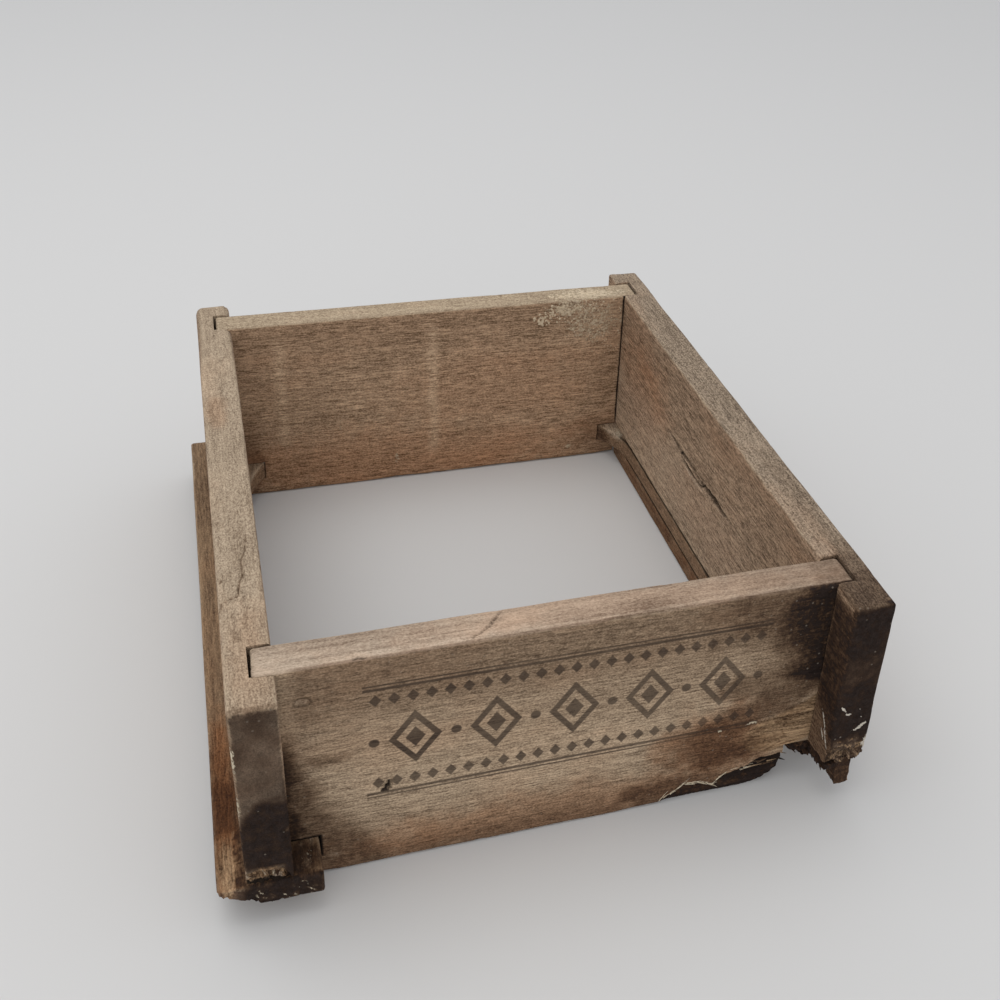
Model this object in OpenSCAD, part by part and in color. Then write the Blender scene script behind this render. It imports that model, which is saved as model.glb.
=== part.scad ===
// Sliding box of an old cabbage cutter: an open wooden frame of two sides and two cross boards,
// on runners whose tongues slide in a grooved bed.
// The origin is on the ground, in the middle of the box. +X is to the right and +Y to the back.

/* [Box] */
// Clear width between the sides
inner_w = 203; // [150:1:260]
// Clear length between the front and back boards
inner_d = 234; // [160:1:320]
// How far the sides run past the front board
front_run = 16; // [8:0.5:40]
// How far the sides run past the back board
back_run = 13; // [6:0.5:30]

/* [Sides] */
// Thickness of a side
side_t = 16; // [12:0.5:24]
// Height of a side, from its runner to its top edge
side_h = 80; // [50:1:120]
// Rounding of a side's long top edges
side_edge_r = 2; // [0.5:0.5:4]
// Rounding of a side's outer back corner
side_corner_r = 5; // [1:0.5:8]

/* [Cross boards] */
// Thickness of the front and back boards
board_t = 15; // [9:0.5:20]
// Rounding of a board's long top edges
board_edge_r = 1; // [0.5:0.25:3]
// How far a board's top lies below the top of the sides
board_drop = 0.5; // [0:0.25:4]
// Depth of the housing in a side that takes a board's end
housing_d = 8; // [4:0.5:10]
// Clearance on the faces of a board in its housing
housing_gap = 0.2; // [0.1:0.05:0.6]
// Gap that shrinkage has left behind the front board in its housing
front_play = 1.2; // [0:0.1:2]
// Gap at each end of a board in its housing
end_gap = 1; // [0.2:0.1:2]

/* [Runners] */
// Thickness of a runner
runner_t = 9.5; // [8.5:0.5:14]
// Width of the tongue outside a side
tongue_w = 10; // [5:0.5:16]
// Rounding of the tongue's corners
tongue_r = 2; // [0.5:0.5:4]
// How far the ears reach in through the slots of the boards
ear_w = 10; // [5:0.5:16]
// Radius of the scoop that leads from an ear to the face of the side
scoop_r = 44; // [25:1:80]
// Clearance round an ear in its slot
ear_gap = 0.4; // [0.1:0.1:1]
// Length broken off the front of the right runner
right_break = 32; // [4:1:60]
// Width of the stub that is left of it under the side
stub_w = 7; // [4:0.5:8]
// Length of the stub along the side
stub_l = 7; // [3:0.5:10]
// How far the stub hangs below the side
stub_h = 12; // [4:0.5:14]
// Distance from the stub to the front end of the side
stub_inset = 1.5; // [0.5:0.5:2]
// Distance from the stub to the inner face of the side
stub_in = 5; // [0.5:0.5:5.5]

/* [Slide strips] */
// Thickness of the strip under a runner
strip_t = 9.5; // [6:0.5:14]
// Gap between a strip's end and a board
strip_gap = 0.3; // [0.1:0.1:1]

/* [Split in the front board] */
// Length of the split along the bottom edge, from the right slot
split_l = 51; // [20:1:120]
// Height of the split at the right slot
split_h = 15; // [3:0.5:18]
// Depth of the split in the front face
split_d = 1.5; // [0.5:0.5:8]
// Length of the corner broken off under the split, from the right slot
corner_l = 20; // [5:1:60]
// Height of that corner at the right slot
corner_h = 6; // [2:0.5:12]

/* [Nails] */
// Diameter of a nail
nail_d = 2.6; // [1.8:0.1:4]
// Diameter of a nail's head
nail_head_d = 6; // [5:0.5:8]
// Thickness of a nail's head
nail_head_t = 1.2; // [0.8:0.1:2]
// Length of a nail's point
nail_tip = 4; // [2:0.5:6]
// Clearance round a nail in its hole
nail_gap = 0.05; // [0.02:0.01:0.2]
// Nails at each corner of the box
corner_nail_n = 3; // [2:1:4]
// Distance from the first and last corner nail to the edges of a side
corner_nail_edge = 14; // [8:1:20]
// Depth of a corner nail in the board's end
corner_nail_bite = 36; // [15:1:50]
// Nails that hold each runner
runner_nail_n = 4; // [3:1:6]
// Distance from the first and last runner nail to the boards
runner_nail_inset = 30; // [15:1:60]
// Depth of a runner nail in the side
runner_nail_bite = 22; // [10:1:40]
// Depth of a strip nail in the runner
strip_nail_bite = 6; // [4.5:0.5:8]

/* [Hidden] */
$fn = 48;

// How far a cut runs past the face that it starts from
over = 1;

// Places along Y, from the front ends of the sides to the back ends
length_all = front_run + board_t + inner_d + board_t + back_run;
y_front = -length_all / 2;
front_y0 = y_front + front_run;
front_y1 = front_y0 + board_t;
back_y0 = front_y1 + inner_d;
back_y1 = back_y0 + board_t;

// Heights
side_z = strip_t + runner_t;
top_z = side_z + side_h;
board_top = top_z - board_drop;

// Places across X
inner_x = inner_w / 2;
outer_x = inner_x + side_t;
nail_x = inner_x + side_t / 2;
board_end_x = inner_x + housing_d - end_gap;
slot_x = inner_x - ear_w - ear_gap;

// Run of the scoop from the full ear to the face of the side
scoop_run = sqrt(2 * scoop_r * ear_w - ear_w * ear_w);

// Nail places: runner nails between the boards, strip nails midway between runner nails
runner_nail_step = (inner_d - 2 * runner_nail_inset) / (runner_nail_n - 1);
runner_nail_y = [for (i = [0:runner_nail_n - 1]) front_y1 + runner_nail_inset + i * runner_nail_step];
strip_nail_y = [for (i = [0:runner_nail_n - 2]) runner_nail_y[i] + runner_nail_step / 2];
corner_nail_step = (side_h - 2 * corner_nail_edge) / (corner_nail_n - 1);
corner_nail_z = [for (i = [0:corner_nail_n - 1]) side_z + corner_nail_edge + i * corner_nail_step];
corner_nail_l = side_t - housing_d + end_gap + corner_nail_bite;

side_color = "#93806a";
board_color = "#836c55";
runner_color = "#7a5f49";
nail_color = "#45403c";

// A nail along +Z with its head flush at zero. A hole is grown by its clearance and opens at the head.
module nail(length, grow = 0, open = 0) {
    shank_r = nail_d / 2 + grow;
    head_r = nail_head_d / 2 + grow;
    head_z = nail_head_t + grow;
    rotate_extrude() polygon([
        [0, -open],
        [head_r, -open],
        [head_r, head_z],
        [shank_r, head_z],
        [shank_r, length - nail_tip + grow],
        [0, length + grow]
    ]);
}

module nail_hole(length) {
    nail(length, nail_gap, over);
}

// Puts a shape at each nail of one corner: side_sign is -1 for left, and y is the middle of the board
module at_corner_nails(side_sign, y) {
    for (z = corner_nail_z)
        translate([side_sign * outer_x, y, z])
            rotate([0, -90 * side_sign, 0])
                children();
}

module at_runner_nails() {
    for (y = runner_nail_y)
        translate([-nail_x, y, strip_t])
            children();
}

module at_strip_nails() {
    for (y = strip_nail_y)
        translate([-nail_x, y, 0])
            children();
}

// The waste outside a round of radius r, for a corner at the origin
module corner_waste(r) {
    difference() {
        translate([-over, -over])
            square(r + over);
        translate([r, r])
            circle(r);
    }
}

// Outline seen from above, with its outer edge on x = 0 and rounded outer corners
module rounded_plan(width, length, front_r, back_r) {
    difference() {
        square([width, length]);
        corner_waste(front_r);
        translate([0, length])
            mirror([0, 1])
                corner_waste(back_r);
    }
}

// Cross section of a board on edge, with rounded top edges
module eased_section(thickness, height, r) {
    difference() {
        square([thickness, height]);
        translate([0, height])
            mirror([0, 1])
                corner_waste(r);
        translate([thickness, height])
            rotate(180)
                corner_waste(r);
    }
}

// The left side: a board on edge with a housing for each cross board
module side_blank() {
    intersection() {
        translate([-outer_x, y_front, side_z])
            linear_extrude(side_h)
                rounded_plan(side_t, length_all, side_edge_r, side_corner_r);
        translate([-outer_x, -y_front, side_z])
            rotate([90, 0, 0])
                linear_extrude(length_all)
                    eased_section(side_t, side_h, side_edge_r);
    }
}

module housing(y0, y1) {
    translate([-inner_x - housing_d, y0, side_z - over])
        cube([housing_d + over, y1 - y0, side_h + 2 * over]);
}

module side() {
    difference() {
        side_blank();
        housing(front_y0 - housing_gap, front_y1 + front_play);
        housing(back_y0 - housing_gap, back_y1 + housing_gap);
        for (y = [front_y0, back_y0])
            at_corner_nails(-1, y + board_t / 2)
                nail_hole(corner_nail_l);
        at_runner_nails()
            nail_hole(runner_t + runner_nail_bite);
    }
}

// Face of a cross board: full width between the housings above the sides' lower edges,
// a slot for each runner's ear below them, and a lip under each slot
module board_face(left_lip, right_lip) {
    difference() {
        translate([-board_end_x, 0])
            square([2 * board_end_x, board_top]);
        for (side_sign = [-1, 1]) {
            has_lip = side_sign < 0 ? left_lip : right_lip;
            lip_x = has_lip ? inner_x - ear_gap : slot_x;
            flip = side_sign < 0 ? 1 : 0;
            mirror([flip, 0]) {
                translate([slot_x, strip_t - ear_gap])
                    square([board_end_x + over - slot_x, runner_t + 2 * ear_gap]);
                translate([lip_x, -over])
                    square([board_end_x + over - lip_x, strip_t + over]);
            }
        }
    }
}

module cross_board(left_lip = true, right_lip = true) {
    difference() {
        intersection() {
            translate([0, board_t, 0])
                rotate([90, 0, 0])
                    linear_extrude(board_t)
                        board_face(left_lip, right_lip);
            translate([-board_end_x, 0, 0])
                rotate([90, 0, 90])
                    linear_extrude(2 * board_end_x)
                        eased_section(board_t, board_top, board_edge_r);
        }
        for (side_sign = [-1, 1])
            at_corner_nails(side_sign, board_t / 2)
                nail_hole(corner_nail_l);
    }
}

// A wedge that has come away from the front board's lower edge, left of the right slot
module lost_wedge(length, height, depth) {
    translate([slot_x, depth, 0])
        rotate([90, 0, 0])
            linear_extrude(depth + over)
                polygon([
                    [-length, -over],
                    [over, -over],
                    [over, height],
                    [0, height],
                    [-length, 0]
                ]);
}

// Outline of the left runner: tongue outside, ears inside, scooped between the boards
module runner_plan() {
    width = tongue_w + side_t + ear_w;
    difference() {
        translate([-outer_x - tongue_w, y_front])
            rounded_plan(width, length_all, tongue_r, tongue_r);
        translate([-inner_x, 0]) {
            for (y = [front_y1 + scoop_run, back_y0 - scoop_run])
                translate([scoop_r, y])
                    circle(scoop_r);
            translate([0, front_y1 + scoop_run])
                square([scoop_r, inner_d - 2 * scoop_run]);
        }
    }
}

// What is left of a runner's broken front, under the side
module runner_stub() {
    translate([-inner_x - stub_in - stub_w, y_front + stub_inset, side_z - stub_h])
        cube([stub_w, stub_l, stub_h]);
}

// The left runner. broken is the length lost from its front, where only a stub is left.
module runner(broken = 0) {
    difference() {
        translate([0, 0, strip_t])
            linear_extrude(runner_t)
                runner_plan();
        if (broken > 0)
            translate([-outer_x - tongue_w - over, y_front - over, strip_t - over])
                cube([tongue_w + side_t + ear_w + 2 * over, broken + over, runner_t + 2 * over]);
        at_runner_nails()
            nail_hole(runner_t + runner_nail_bite);
        at_strip_nails()
            nail_hole(strip_t + strip_nail_bite);
    }
    if (broken > 0)
        runner_stub();
}

// The left slide strip, under the runner between the boards
module slide_strip() {
    difference() {
        translate([-outer_x, front_y1 + strip_gap, 0])
            cube([side_t, inner_d - 2 * strip_gap, strip_t]);
        at_strip_nails()
            nail_hole(strip_t + strip_nail_bite);
    }
}

module left_side() { color(side_color) side(); }
module right_side() { color(side_color) mirror([1, 0, 0]) side(); }
module front_board() {
    color(board_color)
        translate([0, front_y0, 0])
            difference() {
                cross_board(right_lip = false);
                lost_wedge(split_l, split_h, split_d);
                lost_wedge(corner_l, corner_h, board_t + over);
            }
}
module back_board() { color(board_color) translate([0, back_y0, 0]) cross_board(); }
module left_runner() { color(runner_color) runner(); }
module right_runner() { color(runner_color) mirror([1, 0, 0]) runner(right_break); }
module left_slide_strip() { color(runner_color) slide_strip(); }
module right_slide_strip() { color(runner_color) mirror([1, 0, 0]) slide_strip(); }
module corner_nails(side_sign, y0) {
    color(nail_color) at_corner_nails(side_sign, y0 + board_t / 2) nail(corner_nail_l);
}
module front_left_nails() { corner_nails(-1, front_y0); }
module front_right_nails() { corner_nails(1, front_y0); }
module back_left_nails() { corner_nails(-1, back_y0); }
module back_right_nails() { corner_nails(1, back_y0); }
module left_runner_nails() { color(nail_color) at_runner_nails() nail(runner_t + runner_nail_bite); }
module right_runner_nails() { mirror([1, 0, 0]) left_runner_nails(); }
module left_strip_nails() { color(nail_color) at_strip_nails() nail(strip_t + strip_nail_bite); }
module right_strip_nails() { mirror([1, 0, 0]) left_strip_nails(); }

left_side();
right_side();
front_board();
back_board();
left_runner();
right_runner();
left_slide_strip();
right_slide_strip();
front_left_nails();
front_right_nails();
back_left_nails();
back_right_nails();
left_runner_nails();
right_runner_nails();
left_strip_nails();
right_strip_nails();
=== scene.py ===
import math
import random

import bmesh
import bpy
from mathutils import Matrix, Vector, noise


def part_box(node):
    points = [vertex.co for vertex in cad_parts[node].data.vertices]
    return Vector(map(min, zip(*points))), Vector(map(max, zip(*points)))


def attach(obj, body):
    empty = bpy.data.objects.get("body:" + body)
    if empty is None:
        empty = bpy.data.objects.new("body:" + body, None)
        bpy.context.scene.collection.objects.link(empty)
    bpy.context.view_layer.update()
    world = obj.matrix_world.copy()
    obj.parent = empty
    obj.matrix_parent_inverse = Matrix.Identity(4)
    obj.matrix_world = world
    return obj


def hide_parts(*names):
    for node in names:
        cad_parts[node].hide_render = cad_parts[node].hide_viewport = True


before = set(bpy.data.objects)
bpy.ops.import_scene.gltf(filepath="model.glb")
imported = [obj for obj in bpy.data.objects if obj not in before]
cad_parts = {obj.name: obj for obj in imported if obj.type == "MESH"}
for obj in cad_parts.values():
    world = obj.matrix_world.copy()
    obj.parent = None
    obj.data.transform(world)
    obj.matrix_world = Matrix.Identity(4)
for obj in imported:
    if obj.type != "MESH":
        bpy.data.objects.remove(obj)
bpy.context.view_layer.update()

dice = random.Random(19)
print("frame loaded:", len(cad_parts), "nodes")


# camera, floor and light

view = {
    "place": (-0.10759, -0.44504, 0.38331),
    "turns": (-18.687, 60.152, 3.518),  # about Z, X and Z, in degrees
    "lens": 44.669,
    "shift": (-0.0856, -0.1087),
}
stageLook = {
    "floor": (207, 205, 202),
    "halfSize": 4.0,
    "world": (240, 243, 248),
    "worldStrength": 0.9,
    "lamps": [  # name, place, aimed at, size, power
        ("overhead", (-0.35, 0.15, 1.5), (0.0, 0.0, 0.0), 1.3, 7.0),
        ("fill", (-0.7, -1.3, 0.9), (0.0, 0.0, 0.05), 1.2, 3.5),
    ],
}


def srgb(red, green, blue):
    parts = [c / 255 for c in (red, green, blue)]
    return tuple(((c + 0.055) / 1.055) ** 2.4 if c > 0.04 else c / 12.92 for c in parts) + (1.0,)


def setCamera():
    data = bpy.data.cameras.new("camera")
    data.sensor_width = 36.0
    data.lens = view["lens"]
    data.shift_x, data.shift_y = view["shift"]
    data.clip_start = 0.01
    camera = bpy.data.objects.new("camera", data)
    turnZ, tilt, roll = (math.radians(a) for a in view["turns"])
    turn = Matrix.Rotation(turnZ, 4, "Z") @ Matrix.Rotation(tilt, 4, "X") @ Matrix.Rotation(roll, 4, "Z")
    camera.matrix_world = Matrix.Translation(view["place"]) @ turn
    bpy.context.scene.collection.objects.link(camera)
    bpy.context.scene.camera = camera


def setStage():
    bm = bmesh.new()
    bmesh.ops.create_grid(bm, x_segments=1, y_segments=1, size=stageLook["halfSize"])
    bmesh.ops.translate(bm, verts=bm.verts, vec=(0, 0, -0.0004))
    floor = asObject(bm, "floor")
    paper = bpy.data.materials.new("palePaper")
    paper.use_nodes = True
    shader = paper.node_tree.nodes["Principled BSDF"]
    shader.inputs["Base Color"].default_value = srgb(*stageLook["floor"])
    shader.inputs["Roughness"].default_value = 0.9
    shader.inputs["Specular IOR Level"].default_value = 0.1
    floor.data.materials.append(paper)

    world = bpy.data.worlds.new("softRoom")
    bpy.context.scene.world = world
    world.use_nodes = True
    sky = world.node_tree.nodes["Background"]
    sky.inputs["Color"].default_value = srgb(*stageLook["world"])
    sky.inputs["Strength"].default_value = stageLook["worldStrength"]
    for name, place, aim, size, power in stageLook["lamps"]:
        lamp = bpy.data.lights.new(name, "AREA")
        lamp.shape = "SQUARE"
        lamp.size = size
        lamp.energy = power
        holder = bpy.data.objects.new(name, lamp)
        aimed = (Vector(aim) - Vector(place)).to_track_quat("-Z", "Y").to_matrix().to_4x4()
        holder.matrix_world = Matrix.Translation(place) @ aimed
        bpy.context.scene.collection.objects.link(holder)
    bpy.context.scene.view_settings.view_transform = "Standard"


# wood is shaped in millimetres and brought to metres at the end

# deep is painted shade in gaps, housings, seams and grooves, and also the dark rim of a dent and a dark torn
# lump; soot is real soot, but painted shade on the slide strips and on the broken stub's top
layerNames = ("worn", "top", "end", "soot", "fresh", "crust", "rosy", "bleach", "deep")


def ease(value, low, high):
    t = min(max((value - low) / (high - low), 0.0), 1.0)
    return t * t * (3 - 2 * t)


def ripple(point, size, grain=None, stretch=6.0):
    # smooth noise from about -1 to 1 with lumps of the given size, longer along the grain
    spot = Vector(point) / size
    if grain is not None:
        spot[grain] /= stretch
    return noise.noise(spot)


def stubs(x, z, wide, tall):
    # broken ends of fibre bundles, each at its own depth from -1 to 1
    bent = 0.6 * noise.noise(Vector((x * 0.4, z * 0.4, 5.0)))
    return noise.cell(Vector((x / wide + bent, z / tall - bent, 2.5)))


def follow(line, at):
    for (x0, y0), (x1, y1) in zip(line, line[1:]):
        if x0 <= at <= x1:
            return y0 + (y1 - y0) * (at - x0) / (x1 - x0)
    return line[0][1] if at < line[0][0] else line[-1][1]


def onFace(axis, level, *spots):
    # path on a flat face, from its two other coordinates
    return [spot[:axis] + (level,) + spot[axis:] for spot in spots]


def nodeBox(name):
    low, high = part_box(name)
    return [c * 1000 for c in low], [c * 1000 for c in high]


def inside(p, low, high):
    return all(low[k] <= p[k] <= high[k] for k in range(3))


def marks(low, high, step, fine):
    places = [low]
    while places[-1] < high - 1e-6:
        at = places[-1]
        places.append(at + min([step] + [gap for start, stop, gap in fine if start <= at < stop]))
    stretch = (high - low) / (places[-1] - low)
    return [low + (place - low) * stretch for place in places]


def blank(low, high, step, fine=((), (), ())):
    # a block with enough cuts to be worn and dented
    bm = bmesh.new()
    bmesh.ops.create_cube(bm, size=1.0)
    bmesh.ops.translate(bm, verts=bm.verts, vec=(0.5, 0.5, 0.5))
    lines = [marks(low[k], high[k], step[k], fine[k]) for k in range(3)]
    for k in range(3):
        along = [e for e in bm.edges if abs(e.verts[0].co[k] - e.verts[1].co[k]) > 0.5]
        if len(lines[k]) > 2:
            bmesh.ops.subdivide_edges(bm, edges=along, cuts=len(lines[k]) - 2, use_grid_fill=True)
    for v in bm.verts:
        v.co = [lines[k][round(v.co[k] * (len(lines[k]) - 1))] for k in range(3)]
    return bm


def boxTool(low, high):
    bm = bmesh.new()
    bmesh.ops.create_cube(bm, size=1.0)
    bmesh.ops.scale(bm, verts=bm.verts, vec=[h - l for l, h in zip(low, high)])
    bmesh.ops.translate(bm, verts=bm.verts, vec=[(h + l) / 2 for l, h in zip(low, high)])
    return bm


def roundTool(centre, radius, depth, axis, segments=48):
    bm = bmesh.new()
    bmesh.ops.create_cone(bm, cap_ends=True, segments=segments, radius1=radius, radius2=radius, depth=depth)
    turns = {0: Matrix.Rotation(math.pi / 2, 4, "Y"), 1: Matrix.Rotation(math.pi / 2, 4, "X"), 2: Matrix()}
    bmesh.ops.transform(bm, verts=bm.verts, matrix=Matrix.Translation(centre) @ turns[axis])
    return bm


def tornTool(low, high, step, shape):
    # a block whose faces are pulled to a ragged shape, for breaking wood away
    bm = blank(low, high, step)
    for v in bm.verts:
        v.co = shape(v.co.copy())
    return bm


def asObject(bm, name):
    mesh = bpy.data.meshes.new(name)
    bm.to_mesh(mesh)
    bm.free()
    piece = bpy.data.objects.new(name, mesh)
    bpy.context.scene.collection.objects.link(piece)
    return piece


def discard(thing):
    mesh = thing.data
    bpy.data.objects.remove(thing)
    bpy.data.meshes.remove(mesh)


def cutAway(bm, tools):
    body = asObject(bm, "blank")
    cutters = [asObject(tool, "tool") for tool in tools]
    for cutter in cutters:
        cut = body.modifiers.new("cut", "BOOLEAN")
        cut.operation = "DIFFERENCE"
        cut.solver = "MANIFOLD"
        cut.object = cutter
    shaped = bpy.data.meshes.new_from_object(body.evaluated_get(bpy.context.evaluated_depsgraph_get()))
    out = bmesh.new()
    out.from_mesh(shaped)
    bpy.data.meshes.remove(shaped)
    for thing in [body] + cutters:
        discard(thing)
    bmesh.ops.remove_doubles(out, verts=out.verts, dist=0.01)
    return out


def addShell(bm, shell):
    # joins a second closed shape to a piece
    holder = asObject(shell, "shell")
    bm.from_mesh(holder.data)
    discard(holder)


def addLayers(bm):
    for name in layerNames:
        bm.verts.layers.float.new(name)


def wearEdges(bm, low, high, wear):
    # rounds the arrises by an amount that wanders along them
    layers = bm.verts.layers.float
    grain = wear["grain"]
    for v in bm.verts:
        p = v.co
        gaps = sorted(min(p[k] - low[k], high[k] - p[k]) for k in range(3))
        if gaps[1] > 9:
            continue
        wander = ripple(p, wear["run"], grain, 3.0)
        r = wear["radius"] * (1 + wear["vary"] * wander)
        r += wear["chip"] * max(0.0, ripple(p + Vector((31, 7, 3)), 2.6, grain, 2.0) - 0.3)
        for place, reach, extra in wear.get("spots", ()):
            r += extra * ease((p - Vector(place)).length, reach, 0.0)
        r = max(r, 0.15)
        q = Vector([min(max(p[k], low[k] + r), high[k] - r) for k in range(3)])
        out = p - q
        if out.length > r:
            v.co = q + out * (r / out.length)
        v[layers["worn"]] = ease(gaps[1], 2.4, 0.0) * (0.6 + 0.4 * wander)


def unevenFaces(bm, amount, size, grain):
    bm.normal_update()
    for v in bm.verts:
        v.co += v.normal * amount * ripple(v.co, size, grain, 4.0)


def nearPath(p, points, inward):
    # distance across a path, share of the way along it, and depth below it
    total = sum((b - a).length for a, b in zip(points, points[1:]))
    run = 0.0
    best = (1e9, 0.0, 0.0)
    for a, b in zip(points, points[1:]):
        leg = b - a
        t = min(max((p - a).dot(leg) / leg.length_squared, 0.0), 1.0)
        gap = p - (a + leg * t)
        sunk = gap.dot(inward)
        flat = (gap - inward * sunk).length
        if flat < best[0]:
            best = (flat, (run + t * leg.length) / total, sunk)
        run += leg.length
    return best


def crack(bm, path, width, depth, inward, mark="deep", amount=1.0, steep=0.3):
    # a ragged groove along a path on a face: depth 0 only colours it, and less than 0 raises it
    inward = Vector(inward)
    points = [Vector(p) for p in path]
    low = [min(p[k] for p in points) - 3 for k in range(3)]
    high = [max(p[k] for p in points) + 3 for k in range(3)]
    layer = bm.verts.layers.float[mark]
    for v in bm.verts:
        if not inside(v.co, low, high):
            continue
        flat, share, sunk = nearPath(v.co, points, inward)
        if abs(sunk) > 1.2:
            continue
        here = width * (0.35 + 0.65 * math.sin(math.pi * min(max(share, 0.02), 0.98)))
        here *= 1 + 0.45 * ripple(v.co, 1.7)
        v[layer] = max(v[layer], amount * ease(flat, here, here * steep))
        v.co += inward * depth * ease(flat, here, here * steep)


def dent(bm, centre, size, depth, inward):
    # a shallow knock with a dark rim
    layers = bm.verts.layers.float
    centre, inward = Vector(centre), Vector(inward)
    for v in bm.verts:
        gap = v.co - centre
        if abs(gap.dot(inward)) > 1.2:
            continue
        reach = Vector([gap[k] / size[k] for k in range(3)]).length + 0.15 * ripple(v.co, 2.0)
        if reach < 1.4:
            v.co += inward * depth * ease(reach, 1.0, 0.6)
            v[layers["deep"]] = max(v[layers["deep"]], 0.5 * ease(abs(reach - 0.95), 0.3, 0.0))
            v[layers["bleach"]] = max(v[layers["bleach"]], 0.8 * ease(reach, 0.9, 0.5))


def splinters(bm, low, high, lean, count, long, thick, tones):
    # flat broken fibres that stick out along the grain
    layers = bm.verts.layers.float
    for _ in range(count):
        spot = Vector([dice.uniform(low[k], high[k]) for k in range(3)])
        length = dice.uniform(*long)
        aim = Vector(lean) + Vector([dice.uniform(-0.18, 0.18) for _ in range(3)])
        fat = dice.uniform(*thick)
        turn = aim.to_track_quat("Z", "Y").to_matrix().to_4x4()
        squash = Matrix.Diagonal((1.0, dice.uniform(0.3, 0.6), 1.0, 1.0))
        made = bmesh.ops.create_cone(
            bm, cap_ends=True, segments=6, radius1=fat, radius2=fat * 0.2, depth=length,
            matrix=Matrix.Translation(spot + aim.normalized() * length * 0.3) @ turn @ squash)
        mark, amount = dice.choice(tones)
        for v in made["verts"]:
            v[layers[mark]] = amount


def lump(bm, centre, size, tones):
    # a ragged bit that clings to the wood
    layers = bm.verts.layers.float
    made = bmesh.ops.create_icosphere(bm, subdivisions=3, radius=1.0)
    for v in made["verts"]:
        swell = 1 + 0.35 * noise.noise(v.co * 1.7 + Vector(centre))
        v.co = Vector([centre[k] + v.co[k] * size[k] * swell for k in range(3)])
        for mark, amount in tones:
            v[layers[mark]] = amount


def fray(bm, low, high, tones, size=(1.5, 5.0, 1.2)):
    # torn wood, where each bundle of fibres has its own shade
    layers = bm.verts.layers.float
    for v in bm.verts:
        p = v.co
        if inside(p, low, high):
            bent = ripple(p, 2.0)
            cell = Vector((p.x / size[0] + bent, p.y / size[1], p.z / size[2] + bent))
            pick = 0.5 + 0.5 * noise.cell(cell)
            mark, amount = tones[min(int(pick * len(tones)), len(tones) - 1)]
            v[layers[mark]] = max(v[layers[mark]], amount)


def crumbs(bm, patches):
    # dried crumbs on a face
    crust = bm.verts.layers.float["crust"]
    for middle, reach, count, largest in patches:
        for _ in range(count):
            spot = Vector([middle[k] + reach[k] * min(max(dice.gauss(0, 0.5), -1), 1) for k in range(3)])
            wide = largest * dice.uniform(0.3, 1.0)
            made = bmesh.ops.create_icosphere(bm, subdivisions=1, radius=1.0)
            for v in made["verts"]:
                swell = wide * (1 + 0.6 * noise.noise(v.co * 1.9 + spot))
                flat = [0.45 if reach[k] == 0 else 1.0 for k in range(3)]
                v.co = spot + Vector([v.co[k] * swell * flat[k] for k in range(3)])
                v[crust] = 1.0


def each(action, bm, rows):
    for row in rows:
        action(bm, *row)


def paint(bm, mark, *amounts):
    # the strongest of the amounts, each a function of the place
    layer = bm.verts.layers.float[mark]
    for v in bm.verts:
        v[layer] = max(v[layer], min(max(amount(v.co) for amount in amounts), 1.0))


def paintPatches(bm, spots):
    # soft ragged patches: layer, centre, half sizes, amount
    for mark, centre, size, amount in spots:
        centre = Vector(centre)
        layer = bm.verts.layers.float[mark]
        for v in bm.verts:
            gap = v.co - centre
            if any(abs(gap[k]) > 1.7 * size[k] for k in range(3)):
                continue
            reach = Vector([gap[k] / size[k] for k in range(3)]).length
            reach += 0.3 * ripple(v.co, 9.0) + 0.2 * ripple(v.co, 3.0)
            v[layer] = max(v[layer], amount * ease(reach, 1.35, 0.35))


def markFaces(bm, low, high, endAxis):
    layers = bm.verts.layers.float
    bm.normal_update()
    for v in bm.verts:
        v[layers["top"]] = ease(v.normal.z, 0.35, 0.85) * ease(v.co.z, high[2] - 6, high[2] - 3)
        off = min(v.co[endAxis] - low[endAxis], high[endAxis] - v.co[endAxis])
        v[layers["end"]] = ease(abs(v.normal[endAxis]), 0.45, 0.85) * ease(off, 14, 6)


def finishPiece(bm, name, node, material):
    bmesh.ops.dissolve_degenerate(bm, dist=0.004, edges=bm.edges)
    bmesh.ops.scale(bm, verts=bm.verts, vec=(0.001, 0.001, 0.001))
    bmesh.ops.triangulate(bm, faces=[f for f in bm.faces if len(f.verts) > 4])
    piece = asObject(bm, name)
    mesh = piece.data
    mesh.polygons.foreach_set("use_smooth", [True] * len(mesh.polygons))
    mesh.set_sharp_from_angle(angle=math.radians(38))
    mesh.materials.append(material)
    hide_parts(node)
    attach(piece, "root")
    mesh.calc_loop_triangles()
    print("made", name, len(mesh.loop_triangles), "triangles")


setCamera()
setStage()
print("camera and floor set")


# shader helpers

def addNode(tree, kind, **values):
    made = tree.nodes.new(kind)
    for key, value in values.items():
        setattr(made, key, value)
    return made


def feed(tree, socket, value):
    if hasattr(value, "is_linked"):
        tree.links.new(value, socket)
    else:
        socket.default_value = value


def calc(tree, operation, *values, clamp=False):
    made = addNode(tree, "ShaderNodeMath", operation=operation, use_clamp=clamp)
    for socket, value in zip(made.inputs, values):
        feed(tree, socket, value)
    return made.outputs[0]


def mul(tree, first, second, clamp=False):
    return calc(tree, "MULTIPLY", first, second, clamp=clamp)


def mulAdd(tree, first, second, third):
    return calc(tree, "MULTIPLY_ADD", first, second, third)


def between(tree, value, low, high, outLow=0.0, outHigh=1.0):
    made = addNode(tree, "ShaderNodeMapRange", interpolation_type="SMOOTHSTEP")
    keys = ("Value", "From Min", "From Max", "To Min", "To Max")
    for key, part in zip(keys, (value, low, high, outLow, outHigh)):
        feed(tree, made.inputs[key], part)
    return made.outputs[0]


def weigh(tree, parts):
    # one half, plus each part's weighted swing about its own middle
    total = 0.5 - 0.5 * sum(weight for value, weight in parts)
    for value, weight in parts:
        total = mulAdd(tree, value, weight, total)
    return calc(tree, "ADD", total, 0.0, clamp=True)


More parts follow.
